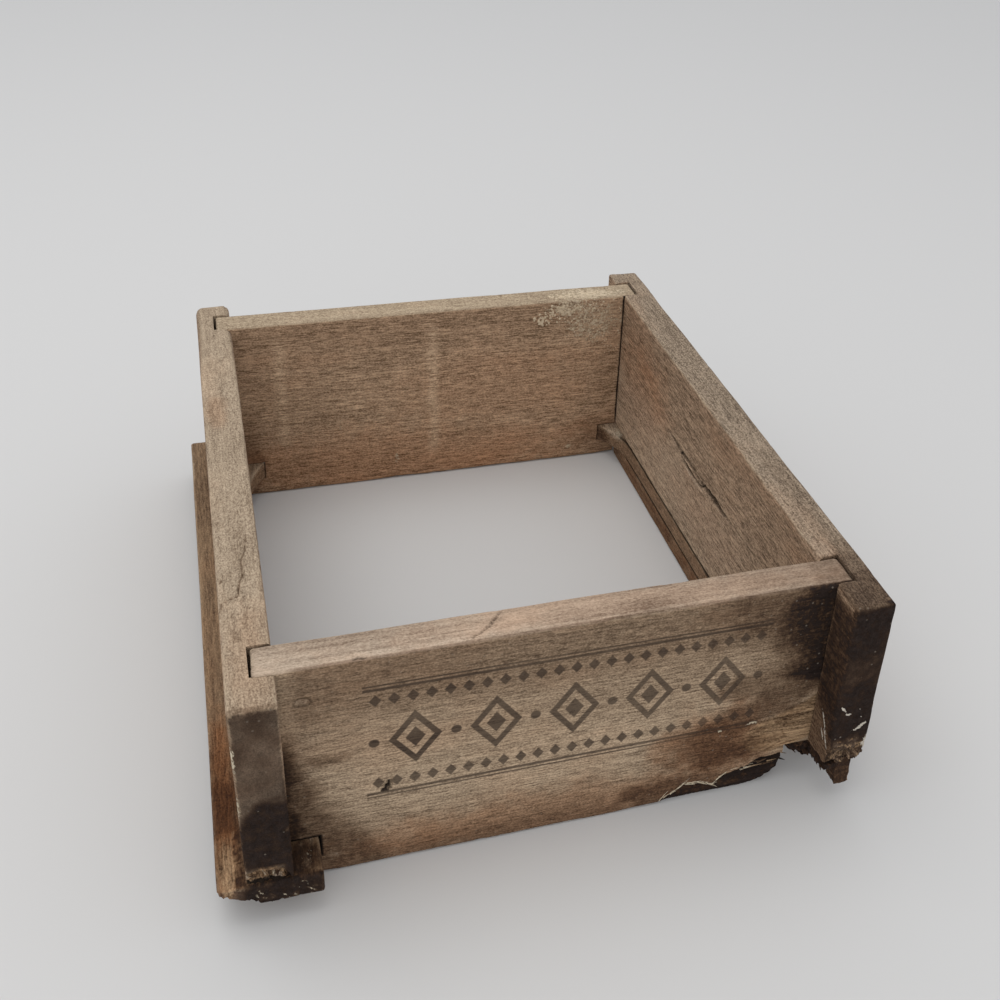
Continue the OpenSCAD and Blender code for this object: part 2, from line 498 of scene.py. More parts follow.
def tint(tree, factor, first, second, mode="MIX"):
    made = addNode(tree, "ShaderNodeMix", data_type="RGBA", blend_type=mode)
    feed(tree, made.inputs["Factor"], factor)
    sockets = [s for s in made.inputs if s.type == "RGBA"]
    feed(tree, sockets[0], first)
    feed(tree, sockets[1], second)
    return [s for s in made.outputs if s.type == "RGBA"][0]


def stretched(tree, vector, scale, place=(0, 0, 0)):
    made = addNode(tree, "ShaderNodeMapping")
    feed(tree, made.inputs["Vector"], vector)
    made.inputs["Scale"].default_value = scale
    made.inputs["Location"].default_value = place
    return made.outputs[0]


def lumps(tree, vector, detail=2.0, rough=0.5, twist=0.0):
    made = addNode(tree, "ShaderNodeTexNoise")
    feed(tree, made.inputs["Vector"], vector)
    made.inputs["Scale"].default_value = 1.0
    made.inputs["Detail"].default_value = detail
    made.inputs["Roughness"].default_value = rough
    made.inputs["Distortion"].default_value = twist
    return made.outputs["Fac"]


def addBump(tree, shader, height, strength, distance):
    bump = addNode(tree, "ShaderNodeBump")
    feed(tree, bump.inputs["Height"], height)
    bump.inputs["Strength"].default_value = strength
    bump.inputs["Distance"].default_value = distance
    feed(tree, shader.inputs["Normal"], bump.outputs[0])


def newGroup(name, inputs, outputs):
    tree = bpy.data.node_groups.new(name, "ShaderNodeTree")
    for label, kind in inputs:
        tree.interface.new_socket(name=label, in_out="INPUT", socket_type=kind)
    for label in outputs:
        tree.interface.new_socket(name=label, in_out="OUTPUT", socket_type="NodeSocketFloat")
    return tree, addNode(tree, "NodeGroupInput"), addNode(tree, "NodeGroupOutput")


def place(tree, group, **values):
    made = addNode(tree, "ShaderNodeGroup", node_tree=group)
    for key, value in values.items():
        feed(tree, made.inputs[key], value)
    return made.outputs


def makeGrain():
    # grain runs along X of the vector it is given, in metres
    outputs = ("Streak", "Fibre", "Grit", "Fleck", "Ring", "Blotch", "Mottle", "Speck", "Height")
    tree, source, sink = newGroup("woodGrain", [("Vector", "NodeSocketVector")], outputs)
    vector = source.outputs["Vector"]
    blotch = lumps(tree, stretched(tree, vector, (16, 38, 38)), 4, 0.6)
    streak = lumps(tree, stretched(tree, vector, (18, 560, 560)), 4, 0.6, 0.3)
    fibre = lumps(tree, stretched(tree, vector, (130, 1250, 1250)), 3, 0.6)
    grit = lumps(tree, stretched(tree, vector, (1150, 1700, 1700)), 2, 0.6)
    dash = lumps(tree, stretched(tree, vector, (210, 1400, 1400), (0.3, 0.7, 0.1)), 1, 0.5)
    mottle = lumps(tree, stretched(tree, vector, (430, 430, 430)), 5, 0.68)
    dots = addNode(tree, "ShaderNodeTexVoronoi")
    feed(tree, dots.inputs["Vector"], stretched(tree, vector, (300, 300, 300)))
    dots.inputs["Scale"].default_value = 1.0
    speck = mul(tree, between(tree, dots.outputs["Distance"], 0.16, 0.08),
                 calc(tree, "GREATER_THAN", dots.outputs["Color"], 0.66))
    figure = lumps(tree, stretched(tree, vector, (5, 42, 42)), 2, 0.45, 0.4)
    ring = calc(tree, "PINGPONG", mul(tree, figure, 11.0), 0.5)
    fleck = between(tree, dash, 0.58, 0.68)
    height = mulAdd(tree, streak, 0.6, fibre)
    height = mulAdd(tree, grit, 0.6, height)
    made = (streak, fibre, grit, fleck, between(tree, ring, 0.42, 0.5), blotch, mottle, speck,
            mulAdd(tree, fleck, -0.7, height))
    for key, value in zip(outputs, made):
        feed(tree, sink.inputs[key], value)
    return tree


def makeFlaking():
    # dry worn top edge: a few thin cracks, and marks of the saw across the grain
    outputs = ("Cracks", "Sawn")
    tree, source, sink = newGroup("flakedWood", [("Vector", "NodeSocketVector")], outputs)
    vector = source.outputs["Vector"]
    bent = addNode(tree, "ShaderNodeVectorMath", operation="ADD")
    shove = addNode(tree, "ShaderNodeTexNoise")
    feed(tree, shove.inputs["Vector"], stretched(tree, vector, (160, 380, 380)))
    shove.inputs["Scale"].default_value = 1.0
    feed(tree, bent.inputs[0], stretched(tree, vector, (75, 260, 260)))
    feed(tree, bent.inputs[1], shove.outputs["Color"])
    cells = addNode(tree, "ShaderNodeTexVoronoi", feature="DISTANCE_TO_EDGE")
    feed(tree, cells.inputs["Vector"], bent.outputs[0])
    cells.inputs["Scale"].default_value = 1.0
    some = lumps(tree, stretched(tree, vector, (40, 120, 120)), 2, 0.5)
    lines = mul(tree, between(tree, cells.outputs["Distance"], 0.07, 0.0),
                 between(tree, some, 0.5, 0.64))
    feed(tree, sink.inputs["Cracks"], lines)
    feed(tree, sink.inputs["Sawn"], lumps(tree, stretched(tree, vector, (700, 90, 90)), 2, 0.6))
    return tree


def makeRagged():
    # turns a soft painted mask into a patch with a grainy edge
    inputs = [("Vector", "NodeSocketVector"), ("Mask", "NodeSocketFloat"),
              ("Edge", "NodeSocketFloat"), ("Swing", "NodeSocketFloat"), ("Size", "NodeSocketVector")]
    tree, source, sink = newGroup("raggedPatch", inputs, ("Patch",))
    scaled = addNode(tree, "ShaderNodeVectorMath", operation="MULTIPLY")
    feed(tree, scaled.inputs[0], source.outputs["Vector"])
    feed(tree, scaled.inputs[1], source.outputs["Size"])
    rough = lumps(tree, scaled.outputs[0], 5, 0.68)
    swing = mul(tree, calc(tree, "SUBTRACT", rough, 0.5), source.outputs["Swing"])
    level = calc(tree, "ADD", source.outputs["Mask"], swing)
    high = calc(tree, "ADD", 0.5, source.outputs["Edge"])
    low = calc(tree, "SUBTRACT", 0.5, source.outputs["Edge"])
    some = between(tree, source.outputs["Mask"], 0.0, 0.12)
    feed(tree, sink.inputs["Patch"], mul(tree, between(tree, level, low, high), some))
    return tree


stencil = {
    "middle": (0.002, 0.060),  # X and Z on the front board, in metres
    "halfLength": 0.0755,
    "period": 0.029,
    # half width, half height, and 1 where there is ink or -1 where it is left out
    "lozenges": ((0.0095, 0.0125, 1), (0.0066, 0.0087, -1), (0.0036, 0.0048, 1)),
    "dot": 0.0019,
    "borderAt": 0.0195,
    "borderPeriod": 0.0065,
    "borderLozenge": (0.0022, 0.0027),
    "rules": ((0.0245, 0.0005), (0.0262, 0.00025)),  # distance from the middle, half thickness
    "softness": 0.00035,
    "face": (-0.124, -0.127),  # Y where the ink ends and where it is whole
    "ink": (52, 43, 38),
}


def makeStencil():
    # faded stencilled band: lozenges and dots between two borders
    tree, source, sink = newGroup("stencilBand", [("Vector", "NodeSocketVector")], ("Ink",))
    parts = addNode(tree, "ShaderNodeSeparateXYZ")
    feed(tree, parts.inputs[0], source.outputs["Vector"])
    across = calc(tree, "SUBTRACT", parts.outputs["X"], stencil["middle"][0])
    up = calc(tree, "ABSOLUTE", calc(tree, "SUBTRACT", parts.outputs["Z"], stencil["middle"][1]))
    soft = stencil["softness"]

    def lozenge(x, z, halfW, halfH):
        reach = calc(tree, "ADD", calc(tree, "DIVIDE", x, halfW), calc(tree, "DIVIDE", z, halfH))
        return between(tree, reach, 1 + soft / halfW, 1 - soft / halfW)

    def disc(x, z, radius):
        far = calc(tree, "SQRT", calc(tree, "ADD", mul(tree, x, x), mul(tree, z, z)))
        return between(tree, far, radius + soft, radius - soft)

    def band(value, at, half):
        off = calc(tree, "ABSOLUTE", calc(tree, "SUBTRACT", value, at))
        return between(tree, off, half + soft, half - soft * 0.5)

    half = stencil["period"] / 2
    near = calc(tree, "PINGPONG", across, half)
    total = 0.0
    for halfW, halfH, sign in stencil["lozenges"]:
        total = mulAdd(tree, lozenge(near, up, halfW, halfH), float(sign), total)
    total = calc(tree, "ADD", total, disc(calc(tree, "SUBTRACT", half, near), up, stencil["dot"]))
    off = calc(tree, "ABSOLUTE", calc(tree, "SUBTRACT", up, stencil["borderAt"]))
    small = calc(tree, "PINGPONG", across, stencil["borderPeriod"] / 2)
    total = calc(tree, "ADD", total, lozenge(small, off, *stencil["borderLozenge"]))
    for at, thick in stencil["rules"]:
        total = calc(tree, "ADD", total, band(up, at, thick))
    ends = stencil["halfLength"]
    total = mul(tree, total, between(tree, calc(tree, "ABSOLUTE", across), ends + soft, ends))
    total = mul(tree, total, between(tree, parts.outputs["Y"], *stencil["face"]))
    feed(tree, sink.inputs["Ink"], calc(tree, "MINIMUM", total, 1.0, clamp=True))
    return tree


grainGroup = makeGrain()
flakeGroup = makeFlaking()
raggedGroup = makeRagged()
stencilGroup = makeStencil()

woodColours = {
    "face": ((98, 80, 64), (194, 168, 142)),
    "top": ((102, 84, 66), (202, 181, 155)),
    "end": ((70, 59, 50), (116, 100, 86)),
    "soot": ((12, 9, 9), (58, 47, 42)),
    "fresh": ((74, 55, 39), (198, 165, 128)),
    "crust": ((176, 158, 130), (228, 216, 192)),
    "rosy": (238, 204, 182),
    "smoke": (158, 129, 104),
    "deep": (20, 15, 13),
    "dust": (176, 164, 148),
    "worn": (196, 176, 148),
    "bleach": ((136, 118, 98), (236, 216, 190)),
    "fleck": (66, 50, 38),
    "ring": (76, 60, 46),
    "cracks": (98, 78, 58),
}
# how much each part of the grain swings the tone
woodMixes = {
    "face": {"Streak": 0.75, "Fibre": 1.5, "Grit": 1.7, "Blotch": 0.6},
    "top": {"Streak": 0.4, "Fibre": 0.6, "Grit": 1.6, "Blotch": 0.7, "Sawn": 0.3},
    "end": {"Blotch": 1.2, "Streak": 1.2, "Grit": 1.2},
    "fresh": {"Streak": 2.2, "Fibre": 1.8, "Grit": 1.2},
    "smoke": {"Streak": 0.5, "Mottle": 1.3, "Blotch": 0.8},
    "soot": {"Fibre": 0.8, "Mottle": 1.7, "Grit": 0.6},
    "ink": {"Fibre": 1.2, "Blotch": 1.4, "Grit": 0.8},
}
woodShares = {
    "fleck": 0.35, "ring": 0.2, "cracks": 0.3, "flush": 0.16, "bleach": 0.6, "worn": 0.6, "fresh": 0.9,
    "dust": 0.3,
}


def woodMaterial(name, look):
    colours = dict(woodColours, **look.get("colours", {}))
    mixes = dict(woodMixes)
    for key in ("face", "top"):
        mixes[key] = dict(mixes[key], **look.get(key + "Mix", {}))
    share = dict(woodShares, **look.get("shares", {}))
    material = bpy.data.materials.new(name)
    material.use_nodes = True
    tree = material.node_tree
    shader = tree.nodes["Principled BSDF"]
    coords = addNode(tree, "ShaderNodeTexCoord")
    turned = addNode(tree, "ShaderNodeMapping")
    feed(tree, turned.inputs["Vector"], coords.outputs["Object"])
    turned.inputs["Rotation"].default_value = (0, 0, math.radians(look["turn"]))
    turned.inputs["Location"].default_value = look["shift"]
    vector = turned.outputs[0]
    mask = {}
    for layer in layerNames:
        mask[layer] = addNode(tree, "ShaderNodeAttribute", attribute_name=layer).outputs["Fac"]
    made = dict(place(tree, grainGroup, Vector=vector).items())
    made.update(place(tree, flakeGroup, Vector=vector).items())

    def plain(key):
        return srgb(*colours[key])

    def duo(key, factor):
        return tint(tree, factor, srgb(*colours[key][0]), srgb(*colours[key][1]))

    def mixOf(key):
        return weigh(tree, [(made[part], weight) for part, weight in mixes[key].items()])

    def partOf(key, value):
        return mul(tree, value, share[key])

    def ragged(key, edge, swing, gain=1.0, size=(260, 800, 800)):
        level = mul(tree, mask[key], gain)
        return place(tree, raggedGroup, Vector=vector, Mask=level, Edge=edge, Swing=swing, Size=size)["Patch"]

    tone = mixOf("face")
    colour = duo("face", tone)
    colour = tint(tree, partOf("fleck", made["Fleck"]), colour, plain("fleck"))
    colour = tint(tree, partOf("ring", made["Ring"]), colour, plain("ring"))
    # top edges are bleached and granular, ends darker
    topSide = tint(tree, partOf("cracks", made["Cracks"]), duo("top", mixOf("top")), plain("cracks"))
    colour = tint(tree, mask["top"], colour, topSide)
    colour = tint(tree, mask["end"], colour, duo("end", mixOf("end")))
    # stains and wear
    flush = calc(tree, "ADD", mask["rosy"], between(tree, made["Blotch"], 0.5, 0.68, 0.0, share["flush"]))
    colour = tint(tree, calc(tree, "MINIMUM", flush, 1.0), colour, plain("rosy"), "MULTIPLY")
    colour = tint(tree, partOf("bleach", mask["bleach"]), colour, duo("bleach", tone))
    colour = tint(tree, partOf("worn", ragged("worn", 0.25, 1.2, 0.65)), colour, plain("worn"))
    colour = tint(tree, partOf("fresh", ragged("fresh", 0.35, 1.0)), colour, duo("fresh", mixOf("fresh")))
    # smoke browns the wood, and where it is thick it lies on it as soot; on the slide strips and on the
    # broken stub's top the same mask is painted shade
    smoke = mul(tree, mask["soot"], mixOf("smoke"))
    smoke = mulAdd(tree, smoke, 0.9, mul(tree, mask["soot"], 0.6))
    smoke = mul(tree, smoke, 0.98, clamp=True)
    colour = tint(tree, smoke, colour, plain("smoke"), "MULTIPLY")
    colour = tint(tree, mul(tree, smoke, smoke), colour, duo("soot", mixOf("soot")))
    colour = tint(tree, mul(tree, made["Speck"], partOf("dust", mask["soot"])), colour, plain("dust"))
    crustPatch = ragged("crust", 0.13, 1.9, 1.0, (800, 1000, 1000))
    colour = tint(tree, crustPatch, colour, duo("crust", made["Grit"]))
    # painted shade: deep darkens gaps, housings, seams and grooves nearly to black
    colour = tint(tree, mask["deep"], colour, plain("deep"))
    if "print" in look:
        ink = place(tree, look["print"], Vector=coords.outputs["Object"])["Ink"]
        faded = mulAdd(tree, mul(tree, ink, mixOf("ink")), 0.55, mul(tree, ink, 0.42))
        colour = tint(tree, faded, colour, srgb(*stencil["ink"]))
    feed(tree, shader.inputs["Base Color"], colour)
    feed(tree, shader.inputs["Roughness"], between(tree, made["Fibre"], 0.3, 0.7, 0.74, 0.92))
    shader.inputs["Specular IOR Level"].default_value = 0.06
    height = mulAdd(tree, mul(tree, made["Grit"], mask["top"]), 1.0, made["Height"])
    height = mulAdd(tree, mul(tree, made["Cracks"], mask["top"]), -0.8, height)
    addBump(tree, shader, mulAdd(tree, crustPatch, 1.5, height), 0.7, 0.0003)
    return material


# the faces that marks and wear lie on, from the frame

(innerX, endY, _), (outerX, farY, sideTop) = nodeBox("right_side")
(_, faceY, _), (_, rearY, boardTop) = nodeBox("front_board")
backY = nodeBox("back_board")[0][1]  # the face towards the middle


# the two sides

# in each piece, cracks give a path, half width, depth, way in, layer, amount and steepness,
# frays two corners, tones and the size of a bundle,
# splinters two corners, lean, count, lengths, half widths and tones
toRight, toBack, down = (1, 0, 0), (0, 1, 0), (0, 0, -1)
tornTones = [("soot", 0.25), ("fresh", 0.5), ("soot", 0.45), ("soot", 0.1), ("fresh", 0.75), ("soot", 0.6)]
sides = {
    "step": (0.62, 1.2, 1.5),
    "housingDepth": 8.0,
    "housings": ((-130.7, -114.9), (118.3, 133.7)),
    "nailPlaces": [(y, z) for y in (-123.0, 126.0) for z in (33.0, 59.0, 85.0)],
    "nailRadius": 3.06,
    "nailDepth": 1.26,
}
leftSide = {
    "wear": {
        "grain": 1, "radius": 1.5, "vary": 0.55, "chip": 1.6, "run": 9.0,
        "spots": [
            ((-outerX, 118, sideTop), 62, 3.2),
            ((-outerX, farY, 62), 48, 3.0),
            ((-outerX, -132, 70), 40, 0.8),
        ],
    },
    "cracks": [(onFace(
        2, sideTop, (-105.4, -52), (-106.7, -63), (-108.3, -68), (-108.0, -76), (-109.6, -80),
        (-110.3, -87.5), (-114.0, -89.6), (-116.4, -91.6), (-116.6, -98)), 0.65, 0.6, down, "soot", 0.5)],
    "fineZ": (),
    "footLine": [(-118, 28.5), (-113, 30), (-108, 28.5), (-105, 29), (-103, 25.5), (-101, 22)],
    "footDepth": 2.2,
    "frays": [(
        (-117.5, -145.7, 20.4), (-104, -141.5, 30.5),
        [("fresh", 0.85), ("soot", 0.55), ("fresh", 0.9), ("bleach", 1.0), ("fresh", 1.0), ("soot", 0.3)],
        (3.2, 8, 2.4))],
    "splinters": [(
        (-115, -144.3, 21.5), (-105, -143.7, 26), (0, -1, -0.1), 6, (2.5, 4), (0.9, 1.7),
        [("fresh", 0.8), ("crust", 0.45), ("soot", 0.8)])],
    "stains": [
        ("fresh", (-111, -144.5, 25), (6, 4, 4), 1.0),
        ("crust", (-117, -145, 79), (1.6, 2, 7), 0.62),
        ("crust", (-117, -145, 58), (1, 2, 6), 0.5),
        ("crust", (-117.4, -141, 78), (1.2, 4, 9), 0.6),
        ("soot", (-115.8, -79, sideTop), (0.7, 1.0, 1.5), 0.8),
        ("soot", (-117, 118, 95), (2, 70, 4), 0.25),
        ("rosy", (-112, 40, sideTop), (5, 14, 4), 0.4),
        ("rosy", (-108, -122, sideTop), (9, 30, 3), 0.25),
    ],
}
rightSide = {
    "wear": {
        "grain": 1, "radius": 1.4, "vary": 0.6, "chip": 2.0, "run": 8.0,
        "spots": [
            ((outerX, farY, 62), 48, 3.0),
            ((innerX, -66, sideTop), 6, 1.6),
            ((innerX, -98, sideTop), 8, 1.8),
            ((innerX, -140, sideTop), 14, 1.5),
            ((innerX, -113, sideTop), 9, 3.0),
        ],
    },
    # the grooves of the gouge, the splinter beside it and the hairline are darkened with deep as painted
    # shade
    "cracks": [  # the gouge, the splinter beside it, pale streaks by the foot and a hairline
        (onFace(0, innerX, (0, 59.4), (-14, 59.6), (-35, 60.6)), 2.3, 3.5, toRight, "deep", 1.0, 0.8),
        (onFace(0, innerX, (42, 61.4), (24, 60.4), (6, 60.4), (-2, 60.0)),
         1.3, 2.5, toRight, "deep", 1.0, 0.7),
        (onFace(0, innerX, (25, 59.4), (20, 57.6), (6, 56.8), (-3, 57.4), (-6, 58.4)),
         1.1, 1.1, toRight, "deep", 1.0, 0.5),
        (onFace(0, innerX, (20, 56.0), (6, 55.0), (-7, 56.2)), 0.8, 0.0, toRight, "bleach", 1.0),
        (onFace(0, innerX, (-137, 42), (-140, 37.5), (-142.5, 34)), 0.75, -0.2, toRight, "crust", 0.75),
        (onFace(0, innerX, (-140.5, 35), (-143, 31), (-145, 28)), 0.75, -0.2, toRight, "crust", 0.75),
        (onFace(0, innerX, (-138.5, 34), (-141.5, 29.5)), 0.75, -0.2, toRight, "crust", 0.75),
        (onFace(0, innerX, (-33, 61), (-47.5, 61.5), (-72, 62.4), (-104, 63)),
         0.6, 0.4, toRight, "deep", 0.4),
    ],
    "frays": [((102.2, -147.5, 18), (118, -137.5, 34), tornTones)],
    "splinters": [(
        (103.5, -144.9, 21.5), (115, -144.1, 30), (0, -1, -0.3), 14, (1.6, 2.8), (0.7, 1.5), tornTones)],
    "fineZ": ((36, 66, 0.6), (56.5, 63.5, 0.36)),  # Z from and to, and the spacing of the cuts
    "footLine": [(101, 31.5), (104, 33), (108, 32.5), (112, 32), (115, 33.5), (118, 37)],
    "footDepth": 1.4,
    "cornerLine": [(14, 112.5), (18, 113.2), (20, 114.6), (22, 116), (25, 117), (29, 117.9), (42, 119)],
    "soleLift": 2.2,
    "chips": [  # path and half width of pale scratches on the end
        (onFace(1, endY, (103.2, 51.6), (104.4, 50.0), (105.4, 48.8)), 0.75),
        (onFace(1, endY, (105.4, 48.6), (105.9, 47.2), (107.2, 46.9), (108.2, 47.6)), 0.6),
        (onFace(1, endY, (110.8, 38.0), (112.6, 39.4), (115.2, 41.6)), 1.15),
        (onFace(1, endY, (109.0, 38.4), (110.4, 38.6)), 0.5),
        (onFace(1, endY, (111.0, 48.4), (111.8, 49.6)), 0.5),
        (onFace(1, endY, (112.4, 45.2), (112.6, 44.6)), 0.4),
        (onFace(1, endY, (105.4, 36.4), (105.6, 35.4)), 0.5),
    ],
    "stains": [
        ("bleach", (105.4, -110, sideTop), (4.6, 5.4, 3), 1.0),
        ("rosy", (105.4, -110, sideTop), (5, 6, 3), 0.7),
        ("rosy", (innerX, 80, 60), (3, 40, 34), 0.45),
        ("rosy", (innerX, -20, 40), (3, 60, 18), 0.3),
        ("crust", (117.0, -144, 31), (1.8, 5, 5.0), 0.85),
    ],
}


def tornFoot(sign, low, settings):
    # what has broken off the face of a side's front end, above its foot
    line, deep = settings["footLine"], settings["footDepth"]
    bottom, tall = low[2] - 4, 30.0

    def shape(p):
        top = follow(line, p.x) + 1.2 * ripple((p.x, 0, 3), 2.2)
        p.z = bottom + (p.z - bottom) / tall * (top - bottom)
        if p.y > low[1] - 3:
            rag = 0.9 * stubs(p.x, p.z, 1.9, 1.4) + 0.5 * stubs(p.x, p.z, 0.9, 0.9)
            p.y = low[1] - 1.5 + ease(p.z, top, top - 6) * (deep + 1.5 + rag)
        return p

    x0, x1 = sorted((sign * 96, sign * 130))
    return tornTool((x0, low[1] - 6, bottom), (x1, low[1] - 1, bottom + tall), (0.7, 10, 0.7), shape)


def tornCorner(low, settings):
    # the outer lower corner that is gone from the right side's foot
    line = settings["cornerLine"]

    def shape(p):
        if p.x < 112:
            rag = 0.8 * ripple(p, 1.6, 1, 4.0) + 0.6 * stubs(p.y, p.z, 2.2, 1.2)
            p.x = follow(line, p.z) + 12 * ease(p.y, -141, -126) + rag
        return p

    return tornTool((110, low[1] - 3, 12), (126, low[1] + 22, 41), (20, 0.8, 0.7), shape)


def tornSole(low, settings):
    # the underside of the same foot, crumbled away towards the front
    def shape(p):
        if p.z > low[2] - 3:
            rag = 0.9 * stubs(p.x, p.y, 1.8, 2.4) + 0.6 * ripple(p, 1.7)
            p.z = low[2] - 0.3 + ease(p.y, -127, -139) * (settings["soleLift"] + rag)
        return p

    return tornTool((99, low[1] - 3, low[2] - 7), (119.5, low[1] + 22, low[2] - 2), (0.7, 0.7, 10), shape)


def makeSide(sign, settings):
    node = "left_side" if sign < 0 else "right_side"
    low, high = nodeBox(node)
    inner = sign * min(abs(low[0]), abs(high[0]))
    outer = sign * max(abs(low[0]), abs(high[0]))
    fine = (
        (),
        ((low[1], low[1] + 9, 0.6), (-133, -111, 0.8), (high[1] - 6, high[1], 0.7)),
        ((low[2], low[2] + 24, 0.7), *settings["fineZ"], (high[2] - 4, high[2], 0.45)),
    )
    bm = blank(low, high, sides["step"], fine)
    tools = []
    for start, stop in sides["housings"]:
        ends = sorted((inner - sign * 5, inner + sign * sides["housingDepth"]))
        tools.append(boxTool((ends[0], start, low[2] - 5), (ends[1], stop, high[2] + 5)))
    for y, z in sides["nailPlaces"]:
        tools.append(roundTool((outer, y, z), sides["nailRadius"], sides["nailDepth"] * 2, 0))
    tools.append(tornFoot(sign, low, settings))
    if sign > 0:
        tools.append(tornCorner(low, settings))
        tools.append(tornSole(low, settings))
    bm = cutAway(bm, tools)
    addLayers(bm)
    wearEdges(bm, low, high, settings["wear"])
    unevenFaces(bm, 0.14, 16.0, 1)
    markFaces(bm, low, high, 1)
    loosenHousings(bm, sign, inner, high)
    paintPatches(bm, settings["stains"])
    # painted shade along the bottom edge of the side, in the seam over the runner, except at the front end
    paint(bm, "deep", lambda p: 0.8 * ease(p.z, low[2] + 1.1, low[2] + 0.3) * ease(p.y, -132, -128))
    if sign < 0:
        dressLeftSide(bm, low, settings)
    else:
        dressRightSide(bm, low, settings)
    return bm, node


def loosenHousings(bm, sign, inner, high):
    # the housings' arrises are bruised and get painted shade, and their walls get painted shade below the rim
    layers = bm.verts.layers.float
    for start, stop in sides["housings"]:
        for v in bm.verts:
            p = v.co
            sunk = sign * (p.x - inner)
            if not (-0.5 < sunk < sides["housingDepth"] + 0.2 and start - 0.15 < p.y < stop + 0.15):
                continue
            if sunk > 0.25:
                v[layers["deep"]] = ease(p.z, high[2] - 0.4, high[2] - 2.0)
            else:
                v[layers["deep"]] = 0.6
                away = -1 if p.y < (start + stop) / 2 else 1
                p.y += away * (0.12 + 0.5 * max(0.0, ripple(p, 5.0)))
                p.x += sign * 0.15


def flakeTop(bm):
    # thin layers have lifted off the front part of the left side's top
    layers = bm.verts.layers.float
    for v in bm.verts:
        p = v.co
        if p.z > 97.5 and p.y < 20:
            level = ripple(p, 6.0, 1, 2.4) + 0.35 * ripple(p, 2.2)
            reach = ease(p.y, 20, -40)
            p.z -= 0.45 * reach * ease(level, 0.0, 0.1)
            # darker along the edges of the lifted layers
            v[layers["soot"]] = max(v[layers["soot"]], 0.12 * reach * ease(abs(level - 0.05), 0.09, 0.02))


def dressLeftSide(bm, low, settings):
    flakeTop(bm)
    each(crack, bm, settings["cracks"])
    front = low[1] + 2.0
    wave = lambda p: 2.5 * ripple((p.x, 0, p.z), 6.0) + 1.5 * ripple((p.x, 4, p.z), 2.2)
    rim = lambda p: 59 + 1.1 * min(p.x + 111, 0.0)
    endFace = lambda p: ease(p.y, front + 1.5, front)
    # smoked lower half of the end, and its inner face in front of the board
    paint(bm, "soot",
          lambda p: (0.92 + 0.25 * ripple(p, 3.0)) * ease(p.z + wave(p) - rim(p), 5, -4)
          * endFace(p) * ease(p.z, 26, 29),
          lambda p: (0.2 + 0.22 * ease(p.z - p.x, 180, 212) + 0.3 * ripple(p, 7.0)) * endFace(p),
          lambda p: 0.65 * ease(p.x, -104, -102) * ease(p.z, 78, 56) * ease(p.y, -129, -134),
          lambda p: 0.85 * ease(p.x, -105.5, -103.5) * ease(p.z, 33, 30) * ease(p.y, front + 2, front))
    # painted shade in the seam between the side's foot and the runner, at the front end
    paint(bm, "deep", lambda p: 0.9 * ease(p.z, 20.6, 19.9) * ease(p.y, low[1] + 5, low[1] + 3.5))
    each(fray, bm, settings["frays"])
    each(splinters, bm, settings["splinters"])


def dressRightSide(bm, low, settings):
    each(crack, bm, settings["cracks"])
    front = low[1] + 2.0
    wave = lambda p: 3 * ripple((p.x, 0, p.z), 8.0) + 2 * ripple((p.x, 4, p.z), 2.6)
    clean = lambda p: ease(p.z + wave(p), 31, 36)
    band = lambda p: 0.3 * ease(abs(p.z - 67 - 0.3 * (p.x - 106) + 0.5 * wave(p)), 9, 3)
    cheek = lambda p: ease(p.y, -128, -133)
    top = lambda p: ease(p.z, 96, 98)
    inner = lambda p: ease(p.x, 102.2, 101.8) * ease(p.y, -116, -112)
    shade = lambda p: p.z + 5 * ripple(p, 9.0, 1)
    # smoked end, the dark inner face in front of the board, the top, and the inner face under its top edge
    paint(bm, "soot",
          lambda p: (0.95 - band(p) + 0.2 * ripple(p, 6.0) + 0.25 * ripple(p, 2.2))
          * ease(p.y, front + 2.0, front) * ease(p.z + wave(p), 103, 96) * clean(p),
          lambda p: 0.86 * ease(p.x, 104, 102) * cheek(p)
          * ease(p.z, 100, 92) * (0.62 + 0.38 * ease(p.z - 0.9 * (p.y - endY), 26, 36)),
          lambda p: 0.3 * ease(p.x, 103, 102) * cheek(p) * ease(p.z, 38, 30),
          lambda p: 0.6 * ease(p.y + 9 * ripple(p, 7.0), -92, -134) * top(p),
          lambda p: 0.16 * ease(abs(p.x - 111), 5, 2) * top(p) * ease(p.y, -30, -60),
          lambda p: 0.16 * inner(p) * ease(shade(p), 76, 92))
    paint(bm, "bleach", lambda p: 0.5 * inner(p) * ease(shade(p), 72, 40))
    each(fray, bm, settings["frays"])
    # painted shade in the gap at the back housing's front arris, on the inner face
    paint(bm, "deep", lambda p: 0.35 * ease(abs(p.y - 117.6), 0.8, 0.3) * ease(p.x, 102.2, 101.8))
    for path, width in settings["chips"]:
        crack(bm, path, width, -0.2, toBack, "crust", 0.95)
    each(splinters, bm, settings["splinters"])


# front and back boards

